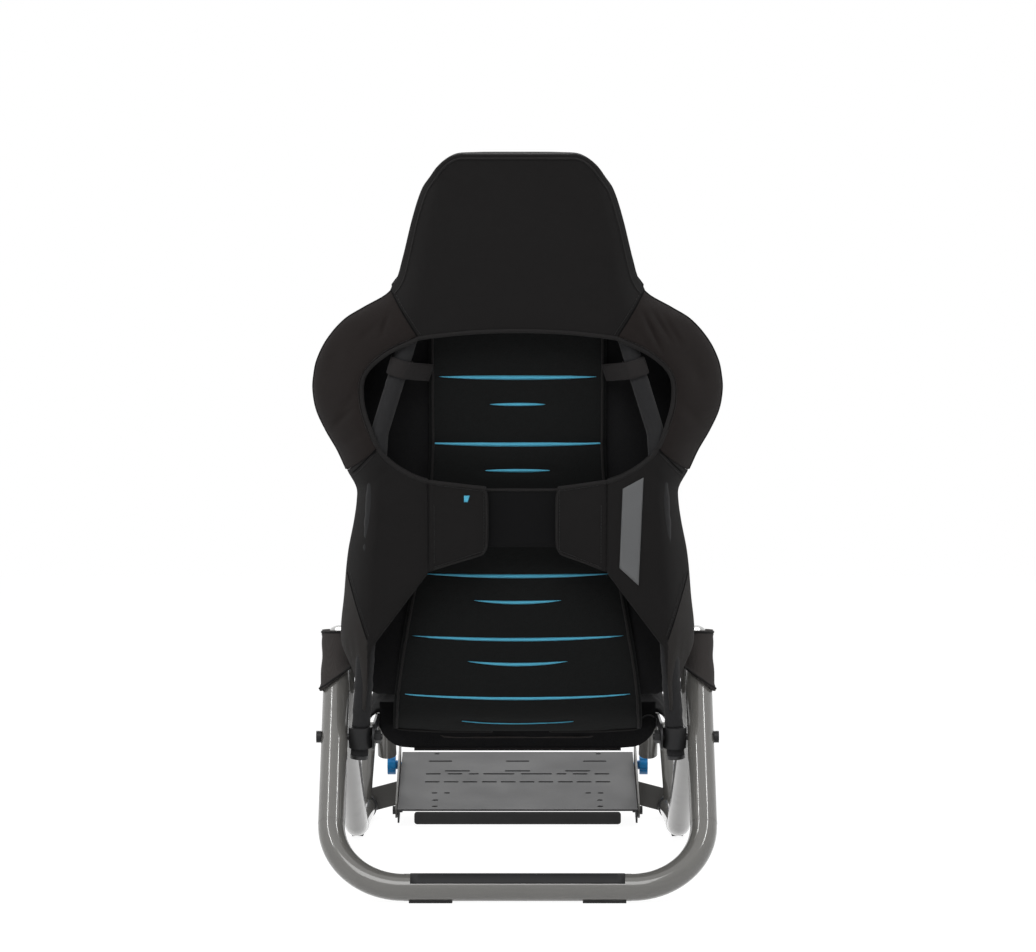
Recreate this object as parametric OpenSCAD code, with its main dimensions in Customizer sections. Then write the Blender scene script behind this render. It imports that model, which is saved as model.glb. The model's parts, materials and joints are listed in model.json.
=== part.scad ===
// Tube-framed driving simulator seat: folding cockpit with a sling seat, a pedal plate and a wheel deck.
// Millimetres, +Z up. The driver faces -Y. The origin is on the floor, under the middle of the whole.

/* [Frame] */
// Overall length, from the rear bar to the front end caps, with the pedals pushed in
total_len = 1390; // [1340:10:1440]
// Distance between the centre lines of the two side tubes
track = 520; // [500:5:540]
// Outside diameter of the main tube
tube_d = 38; // [36:1:40]
// Wall of the main tube
tube_wall = 2; // [1.8:0.1:2.2]
// How far the vertex of the top bend lies forward of the rear bar
apex_u = 315; // [305:5:325]
// Height of the vertex of the top bend
apex_z = 425; // [415:5:435]
// Height of the backrest pivot above the floor
pivot_z = 218; // [210:1:226]

/* [Backrest] */
// Backward lean of the backrest at rest, in degrees
recline = 10; // [8:1:12]
// Diameter of the backrest tube
hoop_d = 25; // [24:1:26]
// Length of the backrest from pivot to the top of the headrest
back_len = 830; // [820:5:840]
// Reach of the shoulder wings to each side
wing_half = 290; // [275:5:300]

/* [Seat] */
// How far the front of the seat lies forward of the rear bar
seat_front_u = 690; // [670:5:710]
// Height of the front edge of the seat tube
seat_front_z = 318; // [305:1:325]

/* [Pedals] */
// Width of the pedal plate between its side flanges
plate_w = 400; // [380:5:410]
// Length of the pedal plate along its slope
plate_len = 288; // [280:2:290]
// Slope of the pedal plate at rest, in degrees
plate_slope = 15; // [12:1:16]

/* [Wheel deck] */
// Width of the wheel deck
deck_w = 300; // [280:5:320]
// Depth of the wheel deck
deck_depth = 160; // [150:5:170]

/* [Hidden] */
$fn = 48;

gap = 0.3;                 // clearance kept between neighbouring pieces
pad_h = 2;                 // height of the rubber floor pads under the tubes
floor_z = tube_d / 2 + pad_h;
half = track / 2;
rear_y = total_len / 2 - tube_d / 2;
front_u = total_len - tube_d / 2;
bore_d = tube_d - 2 * tube_wall;

// ---- places: u is the distance forward of the rear bar ----
function at(x, u, z) = [x, rear_y - u, z];
function unit(v) = v / norm(v);
function lerp(a, b, t) = a + (b - a) * t;

corner_r = 103;            // bend of the rear corners
apex_r = 76;               // bend over the top
knee_r = 100;              // bend below the top, where the tube turns forward
toe_r = 150;               // bend on to the floor
knee_u = 392;
knee_z = 240;
toe_u = 884;
joint_u = 470;             // where the rear loop ends and the side tubes begin
runner_end_u = 1240;

pivot_u = (pivot_z - floor_z) * apex_u / (apex_z - floor_z);
joint_z = lerp(knee_z, floor_z, (joint_u - knee_u) / (toe_u - knee_u));

function rear_corner(s) = at(s * half, 0, floor_z);
function apex(s) = at(s * half, apex_u, apex_z);
function knee(s) = at(s * half, knee_u, knee_z);
function joint_at(s) = at(s * half, joint_u, joint_z);
function toe(s) = at(s * half, toe_u, floor_z);
function runner_end(s) = at(s * half, runner_end_u, floor_z);

// ---- tubes ----
module frame_at(o, x, y, z)
    multmatrix([[x.x, y.x, z.x, o.x], [x.y, y.y, z.y, o.y], [x.z, y.z, z.z, o.z], [0, 0, 0, 1]]) children();
function square_to(v) = unit(cross(v, abs(v.z) < 0.8 ? [0, 0, 1] : [0, 1, 0]));
module aim(a, b) {
    z = unit(b - a);
    x = square_to(z);
    frame_at(a, x, cross(z, x), z) children();
}
module annulus(d, wall) difference() {
    circle(d = d);
    if (wall > 0) circle(d = d - 2 * wall);
}
function turn(p, i) = acos(unit(p[i] - p[i - 1]) * unit(p[i + 1] - p[i]));
function inset(p, r, i) = i == 0 || i == len(p) - 1 ? 0 : r[i] * tan(turn(p, i) / 2);

// One bend of a tube about vertex i of path p; part is the share of the bend that is drawn.
// It runs a little into the straights at its ends, a hair thinner than they are, so that they join cleanly.
lap = 0.2;
hair = 0.46;
module bend(p, r, i, d, wall, part = 1) {
    d0 = unit(p[i] - p[i - 1]);
    d1 = unit(p[i + 1] - p[i]);
    a = turn(p, i);
    m = (d1 - d0 * cos(a)) / sin(a);
    c = p[i] - d0 * inset(p, r, i) + m * r[i];
    over = lap / r[i] * 180 / PI;
    frame_at(c, -m, d0, cross(d0, m)) rotate([0, 0, -over])
        rotate_extrude(angle = a * part + 2 * over) translate([r[i], 0]) annulus(d - hair, wall - hair);
}
// A tube along the path p with bend radii r, solid where wall is 0
module bent_tube(p, r, d, wall = 0) {
    n = len(p);
    for (i = [0:n - 2]) {
        dir = unit(p[i + 1] - p[i]);
        a = p[i] + dir * inset(p, r, i);
        b = p[i + 1] - dir * inset(p, r, i + 1);
        aim(a, b) linear_extrude(norm(b - a)) annulus(d, wall);
    }
    for (i = [1:n - 2]) bend(p, r, i, d, wall);
}
module rod(a, b, d) aim(a, b) cylinder(d = d, h = norm(b - a));
module across(x, u, z, d, h) translate(at(x, u, z)) rotate([0, 90, 0]) cylinder(d = d, h = h, center = true);

// ---- rear loop, side tubes and their joints ----
rear_path = [joint_at(1), knee(1), apex(1), rear_corner(1), rear_corner(-1), apex(-1), knee(-1), joint_at(-1)];
rear_bends = [0, knee_r, apex_r, corner_r, corner_r, apex_r, knee_r, 0];
joint_dir = unit(knee(1) - joint_at(1));
spigot_half = 44;
screw_step = 28;           // distance of each joint screw from the joint
screw_d = 6;

module joint_holes() for (s = [-1, 1], k = [-1, 1]) {
    c = joint_at(s) + joint_dir * k * screw_step;
    translate([s * (half - tube_d / 2), c.y, c.z]) rotate([0, 90, 0])
        cylinder(d = screw_d + 0.4, h = 20, center = true);
}
module pivot_holes(d) for (s = [-1, 1]) across(s * half, pivot_u, pivot_z, d, tube_d + 10);

module rear_loop() color([0.43, 0.42, 0.41]) difference() {
    bent_tube(rear_path, rear_bends, tube_d, tube_wall);
    joint_holes();
    pivot_holes(10.4);
}
module side_tube(s) color([0.43, 0.42, 0.41]) difference() {
    bent_tube([joint_at(s) - joint_dir * 0.1, toe(s), runner_end(s)], [0, toe_r, 0], tube_d, tube_wall);
    joint_holes();
}
module joint_spigots() color([0.6, 0.6, 0.6]) difference() {
    for (s = [-1, 1]) aim(joint_at(s) - joint_dir * spigot_half, joint_at(s) + joint_dir * spigot_half)
        linear_extrude(2 * spigot_half) annulus(bore_d - 0.2, 2.5);
    joint_holes();
}
module joint_screws() color([0.12, 0.12, 0.12]) for (s = [-1, 1], k = [-1, 1]) {
    c = joint_at(s) + joint_dir * k * screw_step;
    translate([s * (half - tube_d / 2 - 0.1), c.y, c.z]) rotate([0, s * 90, 0]) {
        translate([0, 0, -3.5]) cylinder(d = 11, h = 3.5);
        cylinder(d = screw_d, h = 12);
    }
}
collar_len = 34;
collar_d = tube_d + 3.4;
module runner_collars() color([0.1, 0.1, 0.1]) for (s = [-1, 1]) translate(runner_end(s)) rotate([90, 0, 0]) {
    translate([0, 0, -collar_len + 8]) linear_extrude(collar_len - 8) annulus(collar_d, 1.5);
    translate([0, 0, gap]) linear_extrude(8 - gap) annulus(collar_d, (collar_d - bore_d) / 2 - 0.15);
}

// ---- floor pads: saddles under the rear bar and the runners ----
pad_len = 60;
pad_spots = [[120, 0, 0], [-120, 0, 0], [half, 960, 90], [-half, 960, 90], [half, 1150, 90], [-half, 1150, 90]];
module floor_pads() color([0.07, 0.07, 0.07]) for (p = pad_spots)
    translate(at(p[0], p[1], 0)) rotate([0, 0, p[2]]) difference() {
        translate([-pad_len / 2, -9, 0]) cube([pad_len, 18, 7]);
        translate([0, 0, floor_z]) rotate([0, 90, 0]) cylinder(d = tube_d + 0.1, h = pad_len + 2, center = true);
    }

// ---- seat tube and what carries it ----
rail_x = 190;              // centre line of the seat rails
rail_rear_u = 264;
rail_rear_z = 230;
plate_t = 3;               // thickness of the pivot plates
plate_x = 202.9;           // inner face of the pivot plates
function rail_rear(s) = at(s * rail_x, rail_rear_u, rail_rear_z);
function rail_front(s) = at(s * rail_x, seat_front_u, seat_front_z);
rail_slope = (seat_front_z - rail_rear_z) / (seat_front_u - rail_rear_u);
function rail_at(s, u) = at(s * rail_x, u, rail_rear_z + (u - rail_rear_u) * rail_slope);

module plate_outline() difference() {
    hull() {
        translate([rear_y - pivot_u, pivot_z]) circle(r = 19);
        translate([rear_y - rail_rear_u - 14, rail_rear_z]) circle(r = 13);
    }
    translate([rear_y - pivot_u, pivot_z]) circle(d = 10.4);
}
module pivot_plates() color([0.16, 0.16, 0.16]) for (s = [-1, 1]) {
    difference() {
        translate([s > 0 ? plate_x : -plate_x - plate_t, 0, 0]) rotate([90, 0, 90]) linear_extrude(plate_t)
            plate_outline();
        across(s * (plate_x + plate_t / 2), pivot_u, pivot_z, 10.4, 20);
    }
    stub = rail_at(s, rail_rear_u + 14);
    difference() {
        translate([s * (rail_x + plate_x + 1) / 2, stub.y, stub.z]) rotate([0, 90, 0])
            cylinder(d = 20, h = plate_x + 1 - rail_x, center = true);
        rod(rail_rear(s), rail_front(s), hoop_d + 0.2);
    }
}
bolt_d = 10;
bolt_tail_x = 192;         // inner end of the pivot bolts
nut_x = 198.3;
module pivot_bolts() color([0.1, 0.1, 0.1]) for (s = [-1, 1]) {
    across(s * (half + tube_d / 2 + bolt_tail_x) / 2, pivot_u, pivot_z, bolt_d, half + tube_d / 2 - bolt_tail_x);
    across(s * (half + tube_d / 2 + 3.5), pivot_u, pivot_z, 17, 6.8);
}
module pivot_nuts() color([0.14, 0.14, 0.14]) for (s = [-1, 1]) difference() {
    translate(at(s * nut_x, pivot_u, pivot_z)) rotate([0, 90, 0]) cylinder(d = 19, h = 8, center = true, $fn = 6);
    across(s * nut_x, pivot_u, pivot_z, bolt_d + 0.1, 20);
}
module seat_hoop() color([0.12, 0.12, 0.12])
    bent_tube([rail_rear(1), rail_front(1), rail_front(-1), rail_rear(-1)], [0, 85, 85, 0], hoop_d, 2);
strut_u = 520;
module seat_struts() color([0.43, 0.42, 0.41]) for (s = [-1, 1]) difference() {
    rod(lerp(knee(s), toe(s), (strut_u - knee_u) / (toe_u - knee_u)), rail_at(s, strut_u), 20);
    rod(joint_at(s) + joint_dir * 60, joint_at(s) - joint_dir * 60, tube_d + 0.1);
    rod(rail_rear(s), rail_front(s), hoop_d + 0.1);
}

// ---- soft forms: a grid of rows and columns between two surfaces ----
function smooth(t) = t <= 0 ? 0 : t >= 1 ? 1 : t * t * (3 - 2 * t);
function bulge(t) = sqrt(max(0, 1 - pow(abs(2 * t - 1), 3)));
// A cubic curve through the points [t, value] of table c
function curve(c, t) = let(n = len(c), i = max(0, min(n - 2, len([for (p = c) if (p[0] < t) 1]) - 1)),
    a = c[max(i - 1, 0)], b = c[i], d = c[i + 1], e = c[min(i + 2, n - 1)], w = d[0] - b[0],
    k = max(0, min(1, (t - b[0]) / w)),
    mb = (d[1] - a[1]) / max(1, d[0] - a[0]) * w, md = (e[1] - b[1]) / max(1, e[0] - b[0]) * w)
    (2 * k * k * k - 3 * k * k + 1) * b[1] + (k * k * k - 2 * k * k + k) * mb
    + (3 * k * k - 2 * k * k * k) * d[1] + (k * k * k - k * k) * md;

// A closed pad from two grids of the same size, front and back, which meet along their rims
module pad(front, back) {
    n = len(front);
    m = len(front[0]);
    flat = [for (g = [front, back], row = g, p = row) p];
    function id(g, i, j) = g * n * m + i * m + j;
    rim = concat([for (j = [0:m - 2]) [0, j]], [for (i = [0:n - 2]) [i, m - 1]],
        [for (j = [m - 1:-1:1]) [n - 1, j]], [for (i = [n - 1:-1:1]) [i, 0]]);
    faces = concat(
        [for (i = [0:n - 2], j = [0:m - 2]) each [[id(0, i, j), id(0, i + 1, j), id(0, i + 1, j + 1)],
            [id(0, i, j), id(0, i + 1, j + 1), id(0, i, j + 1)]]],
        [for (i = [0:n - 2], j = [0:m - 2]) each [[id(1, i, j), id(1, i + 1, j + 1), id(1, i + 1, j)],
            [id(1, i, j), id(1, i, j + 1), id(1, i + 1, j + 1)]]],
        [for (k = [0:len(rim) - 1]) let(a = rim[k], b = rim[(k + 1) % len(rim)]) each [
            [id(0, a[0], a[1]), id(0, b[0], b[1]), id(1, b[0], b[1])],
            [id(0, a[0], a[1]), id(1, b[0], b[1]), id(1, a[0], a[1])]]]);
    polyhedron(flat, faces);
}
// The same, from a function f(t, w, k): t up the rows, w across the columns, k = -1 in front and 1 behind
module grid_pad(rows, cols, f) pad([for (i = [0:rows]) [for (j = [0:cols]) f(i / rows, j / cols, -1)]],
    [for (i = [0:rows]) [for (j = [0:cols]) f(i / rows, j / cols, 1)]]);
module sided(s) if (s > 0) children(); else mirror([1, 0, 0]) children();
module at_back() translate(at(0, pivot_u, pivot_z)) rotate([-recline, 0, 0]) children();

// ---- backrest, in its own frame: x across, y to the rear of the hoop's plane, z along the hoop ----
hoop_foot = -26;
hoop_path = [[225, 0, hoop_foot], [194, 0, 436], [146, 0, 590], [112, 0, 800]];
function hoop_x(z) = z < 436 ? lerp(225, 194, (z - hoop_foot) / (436 - hoop_foot)) :
    z < 590 ? lerp(194, 146, (z - 436) / 154) : lerp(146, 112, (z - 590) / 210);
module backrest_hoop() color([0.1, 0.1, 0.1]) at_back() difference() {
    bent_tube([for (k = [0:3]) hoop_path[k], for (k = [3:-1:0]) [-hoop_path[k].x, 0, hoop_path[k].z]],
        [0, 120, 120, 60, 60, 120, 120, 0], hoop_d, 1.6);
    for (s = [-1, 1]) translate([s * hoop_x(0), 0, 0]) rotate([0, 90, 0])
        cylinder(d = 16.2, h = 40, center = true);
}
// Collar clamped round the foot of the backrest tube, with a bush for the pivot bolt
collar_x = hoop_x(0);
module backrest_collars() color([0.13, 0.13, 0.13]) at_back() for (s = [-1, 1]) difference() {
    union() {
        difference() {
            translate([s * collar_x, 0, -15]) cylinder(d = hoop_d + 9, h = 30);
            aim([s * hoop_x(-26), 0, -26], [s * hoop_x(40), 0, 40]) cylinder(d = hoop_d + 0.2, h = 80);
        }
        translate([s * (207.6 + 236.2) / 2, 0, 0]) rotate([0, 90, 0]) cylinder(d = 16, h = 28.4, center = true);
    }
    translate([s * 220, 0, 0]) rotate([0, 90, 0]) cylinder(d = bolt_d + 0.12, h = 60, center = true);
}
module backrest_end_caps() color([0.2, 0.2, 0.2]) at_back() for (s = [-1, 1])
    aim([s * hoop_path[0].x, 0, hoop_foot], [s * hoop_path[1].x, 0, hoop_path[1].z]) {
        translate([0, 0, -5.2]) cylinder(d = hoop_d + 1, h = 5);
        translate([0, 0, -0.2]) cylinder(d = hoop_d - 3.6, h = 8);
    }

// Outline of the seat seen from behind: half width against height
outline = [[-10, 214], [40, 226], [84, 234], [131, 251], [201, 246.5], [258, 241], [305, 232], [334, 228],
    [352, 228.5], [376, 241.5], [404, 255], [431, 271.5], [459, 285], [487, 290], [508, 288.5], [530, 283.5],
    [560, 268.5], [590, 243], [608, 216], [628, 184], [651, 166], [680, 157.5], [737, 144.5], [779, 131],
    [800, 119], [817, 98], [830, 72]];
function half_w(z) = curve(outline, z) * wing_half / 290;
// The covers lie flat behind the tubes and wrap forward outside them; how far, against height
cover_y = 17;
wrap_table = [[0, 46], [200, 60], [356, 62], [500, 98], [590, 74], [660, 30], [830, 14]];
function wrap_y(x, z) = let(x0 = hoop_x(z) - 6, w = max(20, half_w(z) - x0))
    cover_y - curve(wrap_table, z) * pow(max(0, abs(x) - x0) / w, 1.7);

// A quilted panel between the edge curves a(t) and b(t), which give [x, z] for t from bottom to top
module panel(a, b, crown, thick, cols = 8, rows = 14) grid_pad(rows, cols, function(t, w, k)
    let(p = lerp(a(t), b(t), w), puff = bulge(t) * bulge(w))
        [p[0], wrap_y(p[0], p[1]) + (k > 0 ? crown * puff : -3 - thick * puff), p[1]]);

seam_gap = 0.8;
// Headrest: its lower edge is the top of the oval opening
seam_foot = [139, 576];
seam_top = [176, 636];
function head_edge(t) = t < 0.25 ? lerp(seam_foot, seam_top - [seam_gap, 0], t / 0.25) :
    let(z = lerp(seam_top[1], back_len, 1 - pow(1 - (t - 0.25) / 0.75, 1.6))) [half_w(z) - 0.2, z];
module headrest_pad() color([0.11, 0.11, 0.11]) at_back() grid_pad(14, 16, function(t, w, k)
    let(edge = head_edge(t), q = 2 * w - 1, x = edge[0] * q, puff = bulge(w) * bulge(0.12 + 0.88 * t),
        deep = lerp(34, 52, smooth((edge[1] - 636) / 104)))
        [x, wrap_y(x, edge[1]) + (k > 0 ? 5 * puff : -10 - deep * puff), edge[1] + (t > 0 ? 0 : 11 * (1 - pow(abs(q), 2.2)))]);

// A line through the points [t, x, z] of c, straight between them
function path_at(c, t) = let(n = len(c), i = max(0, min(n - 2, len([for (p = c) if (p[0] < t) 1]) - 1)),
    k = (t - c[i][0]) / (c[i + 1][0] - c[i][0])) lerp([c[i][1], c[i][2]], [c[i + 1][1], c[i + 1][2]], k);
// Edge of the oval opening, against a number that runs from the lumbar strap to the headrest
oval_x = [[0, 107], [1, 150], [2, 186], [3, 208], [4, 220], [5, 215.5], [6, 184], [7, 139]];
oval_z = [[0, 368], [1, 383], [2, 409], [3, 443], [4, 484], [5, 520], [6, 553], [7, 576]];
function oval(k) = [curve(oval_x, k), curve(oval_z, k)];
wing_low = [232, 376];      // outer end of the seam between wing and side cover
wing_foot_k = 2.3;          // and its inner end on the oval
flap_k = 0.45;              // where the lumbar strap meets the oval
module wing(s) color([0.15, 0.13, 0.13]) at_back() sided(s) panel(
    function(t) oval(lerp(wing_foot_k, 7, t)) + [2, t > 0.9 ? -0.6 : 1.5],
    function(t) let(z = lerp(wing_low[1] + 1.5, seam_top[1] - 1.6, t)) [half_w(z) - 0.5, z], 9, 24);

// Side cover: from the wing down to a tip at the foot of the backrest tube, and in to the lumbar strap
side_inner = [[0, 216, 42], [0.26, 207, 132], [0.54, 126, 241], [0.78, 126, 373]];
module side_cover(s) color([0.13, 0.12, 0.12]) at_back() sided(s) panel(
    function(t) t < 0.78 ? path_at(side_inner, t) : oval(lerp(flap_k, wing_foot_k, (t - 0.78) / 0.22)),
    function(t) let(z = lerp(44, wing_low[1] - 1, t)) [half_w(z) - 0.5, z], 5, 14, 9, 19);

// Lumbar straps: two flaps that close over a band behind the small of the back
module lumbar_flap(s) color([0.12, 0.11, 0.11]) at_back() sided(s) panel(
    function(t) [(s > 0 ? 42 : 54) + 5 * pow(2 * t - 1, 6), lerp(268, 362, t)],
    function(t) [124, lerp(243, 372, t)], 3, 3);
module lumbar_band() color([0.07, 0.07, 0.07]) at_back() translate([-118, 2, 276]) cube([236, 5, 81]);

// Sling of the back, a thin padded panel that widens to its foot
sling_top = 590;
function sling_half(z) = lerp(178, 124, smooth((z + 14) / 430));
function sling_y(z) = -34 - 18 * sin(max(0, min(180, (z - 60) * 0.36))) - 60 * pow(max(0, (60 - z) / 74), 2);
module back_sling() color([0.1, 0.1, 0.1]) at_back() grid_pad(18, 10, function(t, w, k)
    let(z = lerp(-13, sling_top, t), q = 2 * w - 1)
        [sling_half(z) * q, sling_y(z) + k * (3 + 5 * bulge(w)) - 8 * q * q, z]);

// Side bolsters of the back
leg_clear = 226;            // the backrest leans between the legs, so the bolsters stay inside this half width
function bolster_in(z) = z < 585 ? sling_half(z) + 3 : 127 + 29 * smooth((z - 585) / 30);
function bolster_out(z) = let(reach = half_w(z) - 5)
    z < 300 ? min(reach, lerp(leg_clear, reach, smooth((z - 230) / 70))) : reach;
function bolster_y(z, w) = lerp(sling_y(min(z, sling_top)) - 9,
    cover_y - curve(wrap_table, z) - 12 - 30 * smooth((300 - z) / 200), w);
function bolster_deep(z, w) = lerp(18, 46, smooth((600 - z) / 120)) * lerp(0.75, 1, smooth((z - 60) / 140))
    * (0.35 + 0.65 * exp(-pow((w - 0.62) / 0.36, 2)));
module back_bolster(s) color([0.09, 0.09, 0.09]) at_back() sided(s) grid_pad(14, 8, function(t, w, k)
    let(z = lerp(64, 634, t), swell = bulge(w) * bulge(t))
        [lerp(bolster_in(z), bolster_out(z), w),
            bolster_y(z, w) + (k > 0 ? 4 * swell : -10 - bolster_deep(z, w) * swell), z]);
// Small pad over the top edge of the sling
module shoulder_pad() color([0.1, 0.1, 0.1]) at_back() grid_pad(4, 12, function(t, w, k)
    let(q = 2 * w - 1, swell = bulge(w) * bulge(t), z = lerp(593, 646, t), x = (124 + 20 * smooth((z - 592) / 26)) * q)
        [x, -43 - 20 * pow(x / 150, 2) - 4 * t + (k > 0 ? 3 + 5 * swell : -3 - 8 * swell), z]);

// Webbing tabs that hold the sling to the hoop
tab_z = [518, 543];
tab_end = [-45, -38];       // where the tongue is sewn to the sling, seen along the tube
tab_turn = atan2(tab_end.y, tab_end.x) - acos(14.8 / norm(tab_end));
tab_side = [cos(tab_turn), sin(tab_turn)];
tab_lean = atan2(hoop_x(tab_z[1]) - hoop_x(tab_z[0]), tab_z[1] - tab_z[0]);
module tube_tab(s) color([0.2, 0.2, 0.2]) at_back() sided(s)
    translate([hoop_x(tab_z[0]), 0, tab_z[0]]) rotate([0, tab_lean, 0]) {
        linear_extrude(tab_z[1] - tab_z[0]) annulus(hoop_d + 7, 2.9);
        linear_extrude(tab_z[1] - tab_z[0])
            polygon([tab_side * 13.6, tab_side * 16, tab_end + tab_side, tab_end - tab_side * 1.4]);
    }

// ---- seat base: a sling between the rails, and a cushion on them that drops over the front of the seat tube ----
seat_rear_u = 270;
seat_over = 32;            // how far the cushion reaches outside the seat tube's centre line
hoop_r = 85;               // bend of the seat tube
rail_top = hoop_d / 2 + 1;
function rail_z(u) = rail_rear_z + (u - rail_rear_u) * rail_slope;
// Distance outside the centre line of the seat tube
function outside(x, u) = norm([max(abs(x) - rail_x + hoop_r, 0), max(u - seat_front_u + hoop_r, 0)]) - hoop_r;
function seat_half(u, over = seat_over) = rail_x - hoop_r
    + sqrt(max(0, pow(hoop_r + over, 2) - pow(max(0, u - seat_front_u + hoop_r), 2)));
function seat_low(x, u) = let(d = outside(x, u))
    rail_z(u) + rail_top - 44 * smooth((-15 - d) / 110) * smooth((seat_front_u - 16 - u) / 120)
    - 14 * smooth((d - 14) / 18) * smooth((u - 300) / 40);
function seat_thick(x, u) = let(d = outside(x, u))
    22 + 34 * smooth((d + 95) / 70) * smooth((20 - d) / 34) * (1 - 0.55 * smooth((u - 520) / 170)) * smooth((u - 250) / 130);
module seat_cushion() color([0.1, 0.1, 0.1]) grid_pad(16, 18, function(t, w, k)
    let(u = lerp(seat_rear_u, seat_front_u + seat_over - 1, 1 - pow(1 - t, 1.5)), q = 2 * w - 1, x = seat_half(u) * q)
        at(x, u, seat_low(x, u) + (k > 0 ? 4 + seat_thick(x, u) * bulge(w) * bulge(0.03 + 0.97 * t) : 0)));
module seat_sling() color([0.08, 0.08, 0.08]) grid_pad(12, 10, function(t, w, k)
    let(u = lerp(seat_rear_u - 4, seat_front_u - 20, t), x = seat_half(u, -16) * (2 * w - 1))
        at(x, u, seat_low(x, u) - 4.5 + k * 1.5));
// Hook-and-loop strap round the leg, just below the top bend, with a tongue to the seat
strap_d = tube_d + 7;
module seat_strap(s) color([0.2, 0.2, 0.2]) {
    top = apex(s) - unit(apex(s) - rear_corner(s)) * inset(rear_path, rear_bends, 2);
    low = top - unit(apex(s) - rear_corner(s)) * 62;
    aim(low, top) linear_extrude(norm(top - low)) annulus(strap_d, 3.2);
    bend([rear_corner(s), apex(s), knee(s)], [0, apex_r, 0], 1, strap_d, 3.2, 0.22);
}

// ---- pedals ----
slide_tail_u = 925;
slide_d = bore_d - 0.16;
module slide_tube(s) color([0.5, 0.5, 0.5])
    rod(at(s * half, slide_tail_u, floor_z), at(s * half, front_u - 5, floor_z), slide_d);
module slide_end_caps() color([0.08, 0.08, 0.08]) for (s = [-1, 1])
    rod(at(s * half, front_u - 4.8, floor_z), at(s * half, front_u, floor_z), slide_d + 2);

tilt_u = 1108;             // hinge of the pedal plate, near its heel end
tilt_z = 26;
flange_x = plate_w / 2;
cheek_x = flange_x + 1.2;  // inner face of the bracket cheeks
cheek_t = 3;
knob_r = 226;              // distance of the tilt knobs from the hinge
knob_u = tilt_u + knob_r * cos(plate_slope);
knob_z = tilt_z + knob_r * sin(plate_slope);
tilt_up = 9;               // travel of the plate to each side of rest, in degrees
tilt_down = 8;
stud_d = 8;
module cheek_outline() difference() {
    hull() {
        translate([rear_y - tilt_u, tilt_z]) circle(r = 13);
        translate([rear_y - 1290, 24]) circle(r = 12);
        translate([rear_y - knob_u, knob_z + 34]) circle(r = 10);
        translate([rear_y - knob_u, knob_z - 40]) circle(r = 10);
    }
    translate([rear_y - tilt_u, tilt_z]) circle(d = stud_d + 0.2);
    translate([rear_y - tilt_u, tilt_z]) intersection() {
        difference() {
            circle(r = knob_r + stud_d / 2 + 0.2);
            circle(r = knob_r - stud_d / 2 - 0.2);
        }
        rotate(180 - plate_slope) polygon([[0, 0], [300, -300 * tan(tilt_up + 1.2)], [300, 300 * tan(tilt_down + 1.2)]]);
    }
}
web_u = 1262;              // the webs that carry the cheeks from the slide tubes
sleeve_wall = 2.5;
module pedal_bracket(s) color([0.5, 0.5, 0.5]) sided(s) {
    translate([cheek_x, 0, 0]) rotate([90, 0, 90]) linear_extrude(cheek_t) cheek_outline();
    translate(at(0, web_u, 0)) rotate([90, 0, 0]) linear_extrude(4) difference() {
        polygon([[cheek_x + 1, 22], [half - 4, 8], [half - 4, 48], [cheek_x + 1, 62]]);
        translate([half, floor_z]) circle(d = slide_d + 0.1);
    }
    translate(at(half, web_u + 38, floor_z)) rotate([-90, 0, 0]) linear_extrude(42)
        annulus(slide_d + 2 * sleeve_wall, sleeve_wall - 0.05);
}
// Rows of slots: [distance up the plate, slot length, slot centres to each side of the middle]
slot_w = 6;
slot_rows = [[15, 10, [138]], [45, 10, [138]], [80, 10, [119, 140]], [135, 26, [16, 48, 81, 113, 145]],
    [175, 26, [144, 107]], [175, 18, [75]], [175, 54, [32]], [190, 44, [103, 0]], [240, 41, [133, 0]], [278, 9, [140]]];
module slot(l, w) {
    square([l - w, w], center = true);
    for (k = [-1, 1]) translate([k * (l - w) / 2, 0]) circle(d = w, $fn = 16);
}
module rounded(w, h, r) {
    square([w - 2 * r, h], center = true);
    square([w, h - 2 * r], center = true);
    for (i = [-1, 1], j = [-1, 1]) translate([i * (w / 2 - r), j * (h / 2 - r)]) circle(r = r);
}
module plate_frame() translate(at(0, tilt_u, tilt_z)) rotate([-plate_slope, 0, 0]) children();
sheet_t = 3;
sheet_lift = 7;            // underside of the sheet above the hinge
flange_low = -14;
heel_over = 24;            // how far the plate runs behind its hinge
module pedal_plate() color([0.27, 0.27, 0.28]) plate_frame() {
    translate([0, heel_over, sheet_lift]) mirror([0, 1, 0]) linear_extrude(sheet_t) difference() {
        translate([-plate_w / 2, 0]) square([plate_w, plate_len]);
        for (r = slot_rows, x = r[2], s = x == 0 ? [1] : [-1, 1]) translate([s * x, r[0]]) slot(r[1], slot_w);
    }
    for (s = [-1, 1]) translate([s > 0 ? flange_x - sheet_t : -flange_x, 0, 0]) rotate([90, 0, 90])
        linear_extrude(sheet_t) difference() {
            translate([heel_over - plate_len, flange_low]) square([plate_len, sheet_lift + 1 - flange_low]);
            circle(d = stud_d + 0.2);
            translate([-knob_r, 0]) circle(d = stud_d + 0.2);
        }
}
module heel_stop() color([0.12, 0.12, 0.12]) plate_frame() translate([0, heel_over + 0.3, -4])
    rotate([-90, 0, 0]) linear_extrude(6) rounded(206, 20, 5);
module pedal_pivot_bolts() color([0.1, 0.1, 0.1]) for (s = [-1, 1]) {
    across(s * (cheek_x - 2), tilt_u, tilt_z, stud_d - 0.1, 14);
    across(s * (cheek_x + cheek_t + 2.4), tilt_u, tilt_z, 14, 4.4);
}
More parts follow.
